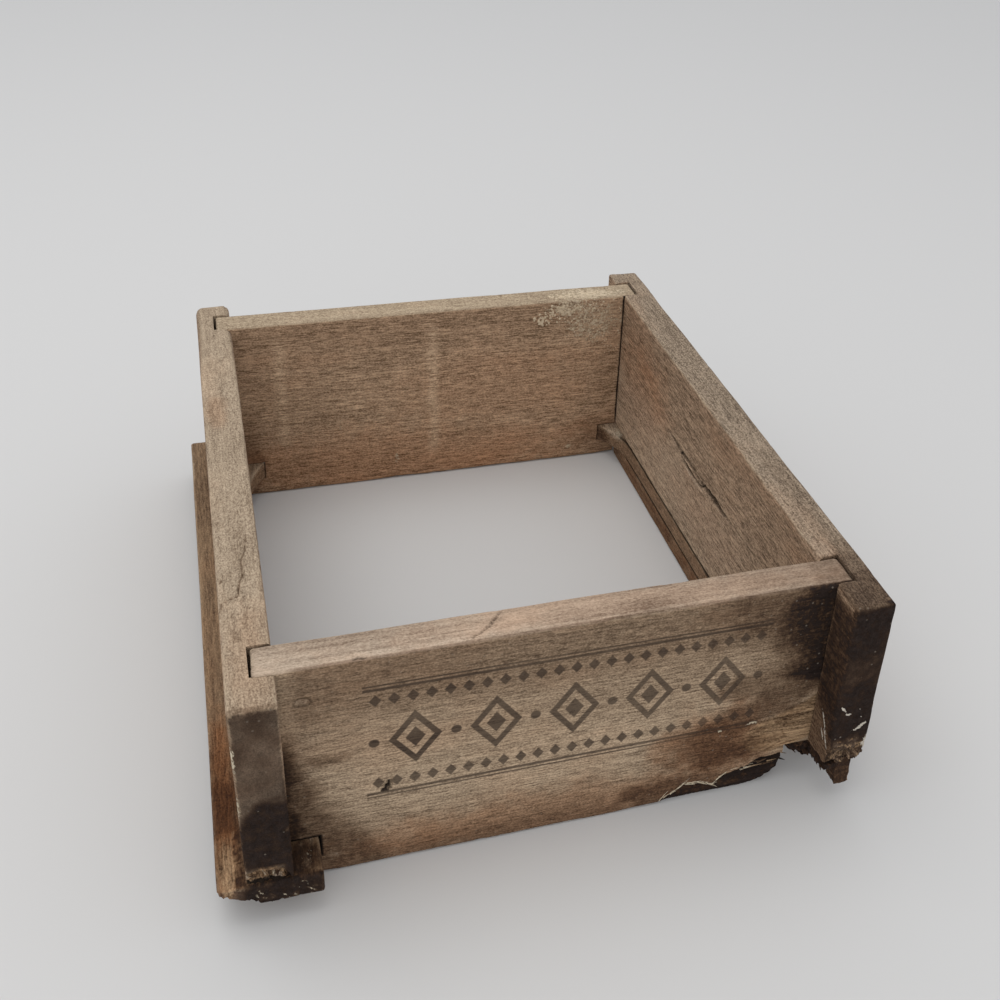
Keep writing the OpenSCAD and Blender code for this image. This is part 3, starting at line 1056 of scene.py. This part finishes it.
boards = {
    "step": (1.1, 0.85, 1.35),
    "slotX": 91.1,
    "slotZ": (9.1, 19.4),
    "lipX": 101.1,
}
frontBoard = {
    "wear": {
        "grain": 0, "radius": 1.0, "vary": 0.6, "chip": 1.4, "run": 8.0,
        "spots": [((innerX, faceY, boardTop), 12, 1.2)],
    },
    # X, then Z, from and to and the spacing of the cuts
    "fine": (
        ((-98, -93, 0.6), (-93, -89, 0.4), (36, 101, 0.8)),
        ((0, 18, 0.7), (18, 22, 0.4), (22, 50, 0.8), (80, 88, 0.7)),
    ),
    "splitLine": [
        (38, -2), (40, 1.9), (44.2, 4.2), (49.3, 8.3), (55.8, 7.7), (61.6, 5.0),
        (65, 8.3), (71.3, 10.3), (82, 14.8), (92.3, 15.2), (114, 15.4)],
    "splitDepth": 1.5,
    "cornerLine": [(60, -4), (74, -1), (80, 0.6), (84, 2.0), (88, 4.4), (90, 6.5), (91.5, 14), (114, 15)],
    # these grooves are darkened with deep as painted shade
    "cracks": [  # two on the top, and a hooked one on the face
        (onFace(2, boardTop, (-22, -115.6), (-24, -118), (-29, -123.7), (-35.5, -128)),
         0.7, 0.8, down, "deep", 0.6),
        (onFace(2, boardTop, (-76, -129.4), (-74.4, -128.8), (-72.4, -129.5)), 0.7, 0.6, down, "deep", 0.8),
        (onFace(1, faceY, (-68.6, 35.4), (-67.2, 36.2), (-66.3, 38.2), (-65.4, 40.8)),
         1.3, 1.2, toBack, "deep", 1.0, 0.5),
    ],
    "knock": ((-93.4, faceY, 84.2), (3.0, 3, 2.0), 0.7, toBack),
    "nicks": [
        (onFace(1, faceY, (73.5, 34.2), (75.5, 35.0), (78, 34.4)), 1.0, 0.3, toBack, "crust", 0.9),
        (onFace(1, faceY, (61, 33.0), (63, 33.6)), 1.0, 0.3, toBack, "crust", 0.9),
    ],
    "splinters": [
        ((66, -130.5, 9.5), (90, -129.9, 15.4), (1, -0.05, 0.2), 12, (3, 7), (0.25, 0.6),
         [("crust", 0.6), ("fresh", 0.7), ("soot", 0.7)]),
        ((87, -128.5, 8), (92, -117.5, 17), (1, -0.1, -0.3), 16, (3, 7), (0.5, 1.2),
         [("soot", 0.95), ("soot", 0.7), ("fresh", 0.4)]),
    ],
    # Z, and X where the soot is half as dark
    "sootEdge": [
        (0, 112), (38, 112), (48, 108), (53, 89), (57, 82), (64, 86), (72, 81), (80, 78), (88, 78), (98, 83)],
    # X, and Z of the dark smear's middle and of the bare patch below it
    "smear": [(34, 28), (50, 28), (60, 31), (70, 37), (78, 43), (84, 45), (90, 47), (100, 54)],
    "bareTop": [(68, 28), (78, 34.5), (90, 37.5), (96, 41), (104, 47)],
    "bareLow": [(68, 24), (76, 19), (84, 17), (95, 18.6), (104, 22)],
    "stains": [
        ("rosy", (63, faceY, 26), (28, 5, 20), 0.75),
        ("rosy", (0, faceY, 8), (110, 4, 12), 0.5),
        ("soot", (64, faceY, 21), (24, 4, 10), 0.7),
        ("soot", (45, faceY, 6), (38, 4, 10), 0.66),
        ("soot", (83, faceY, 54), (17, 4, 26), 0.4),
        ("soot", (74, faceY, 55), (20, 4, 8), 0.55),
        ("bleach", (-86.5, faceY, 8.5), (3.4, 2, 1.8), 1.0),
        ("soot", (-90, faceY, 56), (12, 4, 4), 0.5),
        ("soot", (-98, faceY, 38), (9, 4, 15), 0.65),
        ("rosy", (20, -123, boardTop), (100, 8, 2), 0.3),
    ],
}
backBoard = {
    "wear": {
        "grain": 0, "radius": 1.1, "vary": 0.7, "chip": 1.6, "run": 9.0,
        "spots": [((-20, backY, 0), 16, 1.2)],
    },
    "fine": (((98, 103, 0.4),), ((0, 22, 1.1),)),
    "stains": [
        ("crust", (71, 119, 94.5), (14, 5, 8), 0.5),
        ("crust", (84, 119, 86), (21, 5, 15), 0.47),
        ("crust", (84, 125, 98), (26, 9, 3), 0.6),
        ("bleach", (84, backY, 84), (24, 4, 18), 0.5),
        ("bleach", (0, backY, 42), (125, 4, 30), 0.28),
        ("rosy", (-20, backY, 10), (100, 4, 26), 0.5),
        ("rosy", (30, backY, 50), (60, 4, 26), 0.3),
        ("crust", (-22, backY, 14), (1.6, 2, 5), 0.55),
        ("crust", (-51, backY, 38), (1.2, 2, 4), 0.4),
        ("crust", (74.4, backY, 7.4), (2.0, 2, 1.5), 0.7),
        # darker towards the lower corners of the inner face
        ("soot", (-99, backY, 22), (9, 3, 26), 0.4),
        ("soot", (94, backY, 14), (20, 3, 16), 0.34),
        ("soot", (98, backY, 50), (16, 3, 44), 0.15),
    ],
    "bands": ((-80, 5.5, 26, 92, 1.0), (-2, 6.0, 14, 92, 1.0)),  # X, half width, Z from and to, amount
    # middle of the patch, its half sizes with 0 across the face, count, largest crumb
    "crumbs": [
        ((57, 118.4, 88.5), (5, 0, 4), 26, 0.9), ((66, 118.4, 92), (8, 0, 5.5), 66, 0.95),
        ((76, 118.4, 94), (14, 0, 3.5), 60, 0.7), ((83, 118.4, 87), (17, 0, 10), 150, 0.45),
        ((92, 118.4, 74), (8, 0, 16), 60, 0.4), ((68, 124, 98.4), (9, 4, 0), 46, 0.85),
        ((83, 126, 98.4), (17, 5, 0), 60, 0.6),
    ],
}


def splitTool(low):
    line, depth = frontBoard["splitLine"], frontBoard["splitDepth"]

    def shape(p):
        share = (p.z + 5) / 20.0
        rag = 0.9 * ripple((p.x, 3, 1), 2.2) + 0.5 * ripple((p.x, 8, 1), 0.9)
        p.z = -5 + share * (follow(line, p.x) + 5 + rag)
        if p.y > low[1] - 1:
            p.y = low[1] + depth * ease(p.x, 37, 44) + 0.25 * stubs(p.x / 6, p.z, 1.4, 1.2) - 0.3 * share
        return p

    return tornTool((36, low[1] - 6, -5), (113, low[1], 15), (0.8, 10, 0.8), shape)


def cornerTool(low, high):
    line = frontBoard["cornerLine"]

    def shape(p):
        share = (p.z + 9) / 10.0
        rag = 0.7 * ripple((p.x, p.y, 2), 1.6) + 0.4 * ripple((p.x, p.y, 7), 0.8)
        p.z = -9 + share * (follow(line, p.x) + 9 + rag)
        return p

    return tornTool((60, low[1] - 3, -9), (113, high[1] + 3, 1), (0.8, 0.9, 10), shape)


def makeBoard(node, settings):
    low, high = nodeBox(node)
    front = node == "front_board"
    fineX, fineZ = settings["fine"]
    fine = (fineX, ((low[1], low[1] + 4, 0.5),), (*fineZ, (high[2] - 3, high[2], 0.45)))
    bm = blank(low, high, boards["step"], fine)
    tools = []
    z0, z1 = boards["slotZ"]
    for sign in (-1, 1):
        ends = sorted((sign * boards["slotX"], sign * 115))
        tools.append(boxTool((ends[0], low[1] - 5, z0), (ends[1], high[1] + 5, z1)))
        lip = boards["slotX"] if front and sign > 0 else boards["lipX"]
        ends = sorted((sign * lip, sign * 115))
        tools.append(boxTool((ends[0], low[1] - 5, -5), (ends[1], high[1] + 5, z0 + 1)))
    if front:
        tools.append(splitTool(low))
        tools.append(cornerTool(low, high))
    bm = cutAway(bm, tools)
    addLayers(bm)
    wearEdges(bm, low, high, settings["wear"])
    unevenFaces(bm, 0.12, 18.0, 0)
    for v in bm.verts:
        if v.co.z < 1.5:
            v.co.z += 0.7 * max(0.0, ripple((v.co.x, v.co.y, 0), 14.0))
    markFaces(bm, low, high, 0)
    paintPatches(bm, settings["stains"])
    # the ends inside their housings get painted shade
    paint(bm, "deep", lambda p: ease(abs(p.x), 107.2, 108.0) * ease(p.z, high[2] - 0.4, high[2] - 2.0))
    if front:
        dressFront(bm, low, settings)
    else:
        dressBack(bm, settings)
    return bm


def dressFront(bm, low, settings):
    each(crack, bm, settings["cracks"])
    dent(bm, *settings["knock"])
    # dark fibres across the bare patch
    for _ in range(38):
        x = dice.uniform(52, 90)
        z = 17 + 21 * dice.random() + 0.12 * (x - 75)
        long = dice.uniform(4, 13)
        rise = long * dice.uniform(0.1, 0.32)
        path = [(x, faceY, z), (x + long / 2, faceY, z + rise * 0.4), (x + long, faceY, z + rise)]
        crack(bm, path, 0.75, 0.3, toBack, "soot", dice.uniform(0.35, 0.75))
    # wavy rings of the grain beside it
    for k in range(7):
        middle, wide, tall = 63 + 1.5 * k, 4 + 2.4 * k, 2 + 1.1 * k
        turns = [math.radians(200 + 25 * step + 6 * k) for step in range(7)]
        ring = [(middle + wide * math.cos(a), faceY, 25 + tall * math.sin(a)) for a in turns]
        crack(bm, ring, 0.7, 0.0, toBack, "soot", 0.6)
    each(crack, bm, settings["nicks"])
    # shadow in the gap round the left ear
    gap = lambda p: max(ease(abs(p.z - 19.6), 0.7, 0.3) * ease(p.x, -90.2, -90.9),
                        ease(abs(p.x + 90.9), 0.8, 0.4) * ease(p.z, 20.4, 19.9))
    paint(bm, "deep", lambda p: gap(p) * ease(p.y, low[1] + 2, low[1] + 1) * ease(p.z, 8.6, 9.4)
          * ease(p.x, -80, -85))
    edge, line, smear = settings["sootEdge"], settings["splitLine"], settings["smear"]
    bareTop, bareLow = settings["bareTop"], settings["bareLow"]
    face = lambda p: ease(p.y, low[1] + 2.0, low[1] + 0.8)
    top = lambda p: ease(p.z, 96.5, 98)
    cloud = lambda p: 5 * ripple(p, 10.0, 0, 1.8) + 2.5 * ripple(p, 3.6, 0, 2.2)
    # smoke on the face and on the top
    paint(bm, "soot",
          lambda p: face(p) * ease(p.x + 0.7 * cloud(p) - follow(edge, p.z), -17, 15),
          lambda p: 0.62 * face(p) * ease(p.x + 2 * cloud(p), 20, 66) * ease(p.z + cloud(p), 62, 84),
          lambda p: 0.62 * face(p) * ease(abs(p.z - follow(smear, p.x) + 0.5 * cloud(p)), 14, 5)
          * ease(p.x + cloud(p), 30, 54),
          lambda p: 0.16 * face(p) * ease(p.z + cloud(p), 42, 62),
          lambda p: 0.88 * face(p) * ease(-p.x + 0.7 * cloud(p), 91, 100) * ease(p.z, 80, 54),
          lambda p: 0.42 * face(p) * ease(p.z + 0.6 * cloud(p), 58, 84)
          * (0.35 + 0.65 * ease(p.x, -100, -93)),
          lambda p: face(p) * (0.2 * ease(p.z + cloud(p), 30, 16) + 0.3 * ease(p.z + 0.6 * cloud(p), 15, 1)),
          lambda p: 0.62 * face(p) * ease(-69 - 1.2 * p.x - p.z + 0.9 * cloud(p), -7, 14),
          lambda p: 0.3 * ease(p.x + 8 * ripple(p, 9.0), 20, 105) * top(p),
          lambda p: 0.45 * ease(p.x + 4 * ripple(p, 4.0), 86, 98) * top(p),
          lambda p: 0.16 * ease(p.y + 1.5 * ripple(p, 6.0, 0), -121, -117) * ease(p.x, 50, 20) * top(p))
    paint(bm, "fresh", lambda p: 0.95 * face(p) * ease(follow(bareTop, p.x) - p.z + 0.3 * cloud(p), -1.5, 2.5)
          * ease(p.z - follow(bareLow, p.x), -1.5, 2) * ease(p.x + 0.5 * cloud(p), 66, 80))
    # inside of the split: painted shade in its hollow, and soot
    hollow = lambda p: ease(p.y, low[1] + 0.35, low[1] + 0.8) * ease(p.y, low[1] + 4, low[1] + 3)
    under = lambda p: follow(line, p.x) - p.z
    paint(bm, "deep", lambda p: (0.22 + 0.3 * ripple(p, 4.0, 0)) * hollow(p) * ease(p.z, 4, 8)
          * ease(under(p), -1.0, 0.5) * ease(p.x, 40, 60))
    paint(bm, "soot",
          lambda p: (0.92 + 0.06 * ease(p.z, 4, 8) + 0.2 * ripple(p, 3.0, 0)) * hollow(p)
          * ease(under(p), -1.5, 0.3) * ease(p.x, 38, 42),
          lambda p: 0.8 * ease(p.x, 66, 76) * ease(p.z, 9, 6) * ease(p.x, 108, 92))
    # pale fibres along its lip
    for _ in range(34):
        x = dice.uniform(40, 66)
        spot = Vector((x, low[1] + 0.1, follow(line, x) + dice.uniform(-0.5, 0.5)))
        slope = follow(line, x + 1) - follow(line, x - 1)
        lean = (2.0, -0.1, slope + dice.uniform(-0.5, 0.5))
        splinters(bm, spot, spot, lean, 1, (2, 6), (0.22, 0.5), [("crust", 1.0)])
    each(splinters, bm, settings["splinters"])
    for v in bm.verts:  # the ends sit loose and uneven in their housings
        if v.co.x > 108:
            v.co.x += 0.25 - 0.8 * max(0.0, ripple(v.co, 3.0))
        elif v.co.x < -108:
            v.co.x -= 0.1 + 0.35 * ease(v.co.y, -118, -129)


def dressBack(bm, settings):
    # painted shade in the open joint against the right side
    paint(bm, "deep", lambda p: ease(p.x + 0.3 * ripple(p, 2.0), 100.7, 101.3) * ease(p.y, 119.6, 119.0)
          * ease(p.z, 19, 22))
    paint(bm, "soot", lambda p: 0.16 * ease(p.z + 4 * ripple(p, 12.0, 0), 72, 90) * ease(p.y, 120, 119))
    crumbs(bm, settings["crumbs"])
    for x, half, z0, z1, amount in settings["bands"]:
        paint(bm, "bleach", lambda p: amount * ease(abs(p.x - x + 1.5 * ripple(p, 9.0)), half, 0.0)
              * ease(p.z, z0 - 4, z0 + 8) * ease(p.z, z1 + 4, z1 - 8) * ease(p.y, 120, 119))


# runners and slide strips

runners = {
    "step": (0.95, 1.1, 0.95),
    "scoopRadius": 44.0,
    "scoopRun": 27.93,
    "breakY": -114.5,
}
leftRunner = {
    "wear": {
        "grain": 1, "radius": 1.3, "vary": 0.5, "chip": 1.2, "run": 9.0,
        "spots": [((-127.5, endY, 16), 12, 1.5)],
    },
    # X, and Z of the splintered lower edge
    "lostLine": [
        (-131, 17.8), (-125.6, 17), (-121, 15), (-117.5, 13.5), (-113.5, 11), (-111, 9), (-106, 10.2),
        (-100, 9), (-88, 8)],
    "frays": [
        ((-128, -146.5, 8), (-112, -139.5, 16.5), tornTones),
        ((-121, -146, 17.6), (-117.4, -118, 19.2),
         [("soot", 0.5), ("fresh", 0.5), ("soot", 0.75), ("soot", 0.3)]),
    ],
    "lumps": [
        ((-109.8, -143.1, 9.2), (2.0, 1.8, 2.0), [("soot", 1.0), ("deep", 0.5)]),
        ((-114.0, -143.5, 11.0), (2.6, 1.8, 1.4), [("soot", 0.95)]),
    ],
    "splinters": [((-124, -143.5, 15), (-115, -142.5, 17), (0, -1, -0.2), 6, (2, 4), (0.9, 1.6), tornTones)],
    "stains": [
        ("fresh", (-123.4, -137, 18.5), (4.6, 14, 6), 0.72),
        ("rosy", (-123.4, -110, 18.5), (5.0, 60, 5), 1.0),
        ("soot", (-98, -138, 19), (9, 13, 3), 0.8),
        ("crust", (-95.6, -138, 19), (0.9, 6, 2), 0.35),
        ("crust", (-98.4, -140, 19), (0.7, 5, 2), 0.3),
        ("bleach", (-96, 105, 19), (5, 14, 2), 0.6),
    ],
}
sootTones = [("soot", 1.0), ("soot", 0.8), ("soot", 0.5)]
rightRunner = {
    "wear": {
        "grain": 1, "radius": 1.2, "vary": 0.5, "chip": 1.2, "run": 9.0,
        "spots": [],
    },
    "stubX": (106.4, 113.2),
    "stubTop": 22.5,
    # X and Z of the remnant's lower edge, and Y and Z of it under the foot
    "slotEdge": [(91, 18), (93, 17), (96, 15), (100, 12.6), (104, 11.5)],
    "footEdge": [(-147, 18.5), (-142, 16.5), (-136, 14.5), (-129, 12.5)],
    "stubLength": 7.0,
    "stubFray": (
        (100, -146.5, 5), (114, -134.5, 18.8),
        [("soot", 0.75), ("soot", 0.85), ("soot", 0.65), ("soot", 0.6), ("soot", 0.8)]),
    "slotFray": (
        (90, -147, 8), (105.9, -116, 20.6), [("soot", 1.0), ("soot", 0.85), ("soot", 0.95), ("soot", 0.7)]),
    "splinters": [
        ((92.5, -113, 11), (126, -111, 17.5), (0, -1, 0), 16, (3, 7), (0.8, 1.8), tornTones),
        ((93, -130, 15), (102, -122, 16.5), (0.6, -0.7, -0.3), 14, (2, 3.6), (0.5, 1.0), sootTones),
        ((101.6, -142, 16), (104, -131, 17.5), (-0.3, -0.8, -0.4), 18, (1.4, 2.8), (0.4, 0.9), sootTones),
    ],
    "stains": [
        # the back ear's top is worn pale with crumbs, and these pale patches are also a painted highlight
        # where the corner shades it
        ("crust", (99.8, 108, 19), (2.4, 11, 2), 0.5),
        ("bleach", (98, 110, 19), (6, 10, 3), 1.0),
        ("soot", (93, 117, 14), (4, 7, 5), 0.6),
    ],
}


def brokenTool(low, high, tearY):
    # tears a runner's front off, square to the grain
    def shape(p):
        if p.y > tearY - 6:
            p.y = tearY + 2.6 * stubs(p.x, p.z, 2.4, 1.6) + 1.6 * ripple((p.x, p.z, 2), 3.5)
        return p

    return tornTool(low, (high[0], tearY, high[2]), (0.8, 20, 0.8), shape)


def lostEdgeTool(low):
    # the splintered lower edge at the left runner's front
    line = leftRunner["lostLine"]

    def shape(p):
        if p.z > 5:
            back = ease(p.y, -143, -132)
            p.z = follow(line, p.x) * (1 - back) + 8.5 * back
            p.z += 0.8 * stubs(p.x, p.y / 4, 1.6, 1.3) + 0.6 * ripple(p, 1.5)
        return p

    return tornTool((-131, low[1] - 3, 2), (-88, low[1] + 16, 8), (0.7, 0.8, 10), shape)


def innerEdge(y):
    # how far in a runner starts: an ear at each end, swept back to the side's own face
    radius, run = runners["scoopRadius"], runners["scoopRun"]
    off = min(max(rearY + run - y, y - backY + run, 0.0), run)
    return innerX - radius + math.sqrt(radius ** 2 - off ** 2)


def makeRemnant():
    # torn wood of the lost front, left in the board's slot and along the foot
    top = 18.9
    bm = blank((91.6, -131, 12), (103, -117, top), (0.7, 0.9, 0.7))
    for v in bm.verts:
        p = v.co
        drop = (top - p.z) / 6.9
        p.z = top - drop * (top - follow(rightRunner["slotEdge"], p.x) + 1.5 * stubs(p.x, p.y / 3, 1.3, 1.6))
        p.y += 0.9 * stubs(p.x, p.z, 1.3, 1.5)
    top = 20.5
    strip = blank((101.6, -145.5, 13), (106, -129, top), (0.7, 0.8, 0.7))
    for v in strip.verts:
        p = v.co
        drop = (top - p.z) / 7.5
        p.z = top - drop * (top - follow(rightRunner["footEdge"], p.y) + 1.2 * stubs(p.x, p.y, 1.4, 1.8))
        p.x += 0.6 * stubs(p.y, p.z, 1.5, 1.3) * ease(p.x, 104, 102) + 0.4
    addShell(bm, strip)
    return bm


def makeStub():
    # a stump of the broken runner that still hangs under the right side
    low, high = nodeBox("right_runner")
    x0, x1 = rightRunner["stubX"]
    high[2] = rightRunner["stubTop"]
    tall = high[2] - low[2]
    bm = blank((x0, low[1], low[2]), (x1, low[1] + rightRunner["stubLength"], high[2]), (0.6, 0.6, 0.6))
    middle = (x0 + x1) / 2
    for v in bm.verts:
        p = v.co
        drop = (high[2] - p.z) / tall
        p.x = middle + (p.x - middle) * (1 - 0.12 * drop) + 1.6 * drop + 0.35 * ripple(p, 2.8)
        p.y += 1.0 * drop + 0.3 * stubs(p.x, p.z / 4, 1.6, 1.2)
        p.z += 0.35 * drop * stubs(p.x, p.y, 1.6, 2.0) + 0.12 * drop * abs(p.x - middle)
    return bm


def makeRunner(sign, settings):
    node = "left_runner" if sign < 0 else "right_runner"
    low, high = nodeBox("left_runner")
    if sign > 0:
        low[0], high[0] = -high[0], -low[0]
    fine = ((), ((low[1], low[1] + 12, 0.6), (-118, -108, 0.6)), ((9.4, 10.7, 0.4), (17.6, 19.1, 0.4)))
    bm = blank(low, high, runners["step"], fine)
    if sign > 0:
        tool = brokenTool((86, low[1] - 5, low[2] - 5), (132, high[1], high[2] + 5), runners["breakY"])
    else:
        tool = lostEdgeTool(low)
    bm = cutAway(bm, [tool])
    addLayers(bm)
    wearEdges(bm, low, high, settings["wear"])
    outer, ear = (low[0], high[0]) if sign < 0 else (high[0], low[0])
    for v in bm.verts:
        v.co.x = outer + (v.co.x - outer) / (ear - outer) * (sign * innerEdge(v.co.y) - outer)
    unevenFaces(bm, 0.12, 14.0, 1)
    markFaces(bm, low, high, 1)
    paintPatches(bm, settings["stains"])
    # painted shade in the seams against the side above and the strip below
    rim = lambda p: ease(abs(p.x) - innerEdge(p.y), 2.0, 0.6) * ease(innerEdge(p.y), 97, 101)
    paint(bm, "deep", lambda p: 0.85 * rim(p) * max(ease(p.z, 18.0, 18.7), ease(p.z, 10.3, 9.8)))
    if sign < 0:
        dressLeftRunner(bm, low, settings)
    else:
        dressRightRunner(bm, settings)
    return bm, node


def dressLeftRunner(bm, low, settings):
    front = low[1]
    # dark inner half of the tongue, dark front end
    paint(bm, "soot",
          lambda p: 0.5 * ease(p.x + 1.2 * ripple(p, 4.0, 1), -121.5, -119) * ease(p.x, -116, -117.4)
          * ease(p.y + 8 * ripple(p, 6.0), -86, -112),
          lambda p: 0.55 * ease(p.x, -117, -118) * ease(p.y + 8 * ripple(p, 5.0), -86, -100)
          * ease(p.y + 6 * ripple(p, 4.0), -128, -118),
          lambda p: (0.9 + 0.3 * ripple(p, 2.5)) * ease(p.y, front + 3, front + 1) * ease(p.x, -121, -117),
          lambda p: 0.35 * ease(p.x, -124.6, -126.6) * ease(p.y, -60, -100))
    each(fray, bm, settings["frays"])
    # pale slanting scratches on the end
    for _ in range(44):
        x, z = dice.uniform(-117, -93), dice.uniform(10.5, 18)
        long = dice.uniform(0.8, 2.4)
        path = [(x, front, z), (x + long, front, z - 0.8 * long)]
        crack(bm, path, 0.45, 0.0, toBack, "bleach", 1.0)
        crack(bm, path, 0.4, 0.0, toBack, "crust", dice.uniform(0.25, 0.6))
    # pale streaks along the ear's top
    for _ in range(9):
        x, y = dice.uniform(-100, -93), dice.uniform(-144, -134)
        path = [(x, y, 19), (x + 0.4, y + dice.uniform(3, 6), 19)]
        crack(bm, path, 0.6, 0.0, down, "bleach", dice.uniform(0.6, 1.0))
    each(lump, bm, settings["lumps"])
    each(splinters, bm, settings["splinters"])


def dressRightRunner(bm, settings):
    addShell(bm, makeStub())
    addShell(bm, makeRemnant())
    bm.normal_update()
    fray(bm, *settings["stubFray"])
    # painted shade: the top of the stub and of the torn wood under the foot, at the front, darkened where the
    # wood above shades them
    paint(bm, "soot", lambda p: 0.85 * ease(p.y, -134, -136) * ease(p.z, 13, 18))
    fray(bm, *settings["slotFray"])
    each(splinters, bm, settings["splinters"])


slideStrips = {
    "step": (1.0, 1.3, 1.0),
    "wear": {"grain": 1, "radius": 0.8, "vary": 0.6, "chip": 1.2, "run": 7.0, "spots": []},
    "nailY": (-56.5, 1.5, 59.5),
    "nailX": 109.5,
    # painted shade: soot colour and a rosy darkening over the whole strip, whose inner face lies in shade
    "stains": [("soot", (0, 0, 4), (130, 170, 12), 0.3), ("rosy", (0, 0, 5), (130, 170, 12), 0.7)],
}


def makeStrip(sign):
    node = "left_slide_strip" if sign < 0 else "right_slide_strip"
    low, high = nodeBox(node)
    bm = blank(low, high, slideStrips["step"])
    x, radius, depth = sign * slideStrips["nailX"], sides["nailRadius"], sides["nailDepth"] * 2
    bm = cutAway(bm, [roundTool((x, y, 0), radius, depth, 2) for y in slideStrips["nailY"]])
    addLayers(bm)
    wearEdges(bm, low, high, slideStrips["wear"])
    unevenFaces(bm, 0.1, 12.0, 1)
    paintPatches(bm, slideStrips["stains"])
    # painted shade along the strip's top, in the seam under the runner
    paint(bm, "deep", lambda p: 0.85 * ease(p.z, high[2] - 0.9, high[2] - 0.2))
    return bm, node


# looks of each piece

runnerColours = {
    "face": ((80, 62, 48), (168, 138, 110)),
    "top": ((84, 64, 49), (168, 140, 110)),
    "end": ((62, 50, 42), (112, 94, 80)),
}
looks = {  # turn of the grain in degrees, place in it, and what differs from the common wood
    "leftSideWood": {
        "turn": 90, "shift": (0.31, 0.02, 0.0), "shares": {"cracks": 0.35},
        "colours": {"end": ((66, 55, 46), (122, 105, 89))},
    },
    "rightSideWood": {
        "turn": 90, "shift": (1.7, 0.4, 0.1), "shares": {"cracks": 0.15, "flush": 0.2},
        "colours": {
            "face": ((96, 77, 61), (191, 163, 135)), "top": ((76, 62, 50), (178, 158, 135)),
            "end": ((62, 50, 42), (108, 90, 75)), "crust": ((168, 158, 142), (222, 213, 199)),
        },
        "faceMix": {"Fibre": 2.2, "Grit": 1.8}, "topMix": {"Grit": 2.2, "Fibre": 1.2, "Sawn": 0.0},
    },
    "frontBoardWood": {
        "turn": 0, "shift": (0.0, 0.7, 0.3), "shares": {"cracks": 0.1}, "print": stencilGroup,
        "colours": {"face": ((108, 90, 72), (206, 181, 152)), "top": ((120, 101, 84), (212, 191, 168))},
        "topMix": {"Grit": 1.2, "Streak": 0.8, "Blotch": 1.4, "Sawn": 0.0},
    },
    "backBoardWood": {
        "turn": 0, "shift": (2.3, 0.1, 0.9), "shares": {"fleck": 0.2, "ring": 0.06},
        "colours": {
            "face": ((110, 87, 66), (208, 175, 143)), "bleach": ((142, 114, 88), (238, 208, 174)),
            "top": ((108, 88, 68), (210, 189, 160)), "crust": ((170, 146, 114), (232, 215, 188)),
        },
        "faceMix": {"Fibre": 2.0, "Grit": 1.8},
    },
    "runnerWood": {
        "turn": 90, "shift": (0.9, 1.4, 0.2), "shares": {"cracks": 0.1}, "colours": runnerColours,
        "topMix": {"Grit": 1.3, "Streak": 1.1, "Fibre": 1.4, "Sawn": 0.0},
    },
    "stripWood": {"turn": 90, "shift": (3.1, 0.2, 0.6), "colours": runnerColours},
}
woods = {name: woodMaterial(name, look) for name, look in looks.items()}
print("woods mixed:", len(woods))

for sign, settings, wood in ((-1, leftSide, "leftSideWood"), (1, rightSide, "rightSideWood")):
    made, node = makeSide(sign, settings)
    finishPiece(made, node + "_board", node, woods[wood])
for node, settings, wood in (
        ("front_board", frontBoard, "frontBoardWood"),
        ("back_board", backBoard, "backBoardWood")):
    finishPiece(makeBoard(node, settings), node + "_plank", node, woods[wood])
for sign, settings in ((-1, leftRunner), (1, rightRunner)):
    made, node = makeRunner(sign, settings)
    finishPiece(made, node + "_slat", node, woods["runnerWood"])
    made, node = makeStrip(sign)
    finishPiece(made, node + "_lath", node, woods["stripWood"])


# nails keep their solids

nailLook = {"dark": (42, 36, 33), "rust": (96, 58, 36)}


def nailMaterial():
    material = bpy.data.materials.new("rustedNail")
    material.use_nodes = True
    tree = material.node_tree
    shader = tree.nodes["Principled BSDF"]
    coords = addNode(tree, "ShaderNodeTexCoord")
    spots = lumps(tree, stretched(tree, coords.outputs["Object"], (900, 900, 900)), 4, 0.65)
    rust = between(tree, spots, 0.42, 0.6)
    iron = tint(tree, rust, srgb(*nailLook["dark"]), srgb(*nailLook["rust"]))
    feed(tree, shader.inputs["Base Color"], iron)
    feed(tree, shader.inputs["Metallic"], between(tree, rust, 0.0, 1.0, 0.8, 0.1))
    feed(tree, shader.inputs["Roughness"], between(tree, rust, 0.0, 1.0, 0.5, 0.85))
    addBump(tree, shader, spots, 0.4, 0.0002)
    return material


iron = nailMaterial()
for name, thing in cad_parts.items():
    if name.endswith("_nails"):
        for slot in thing.material_slots:
            slot.material = iron
print("nails dressed")
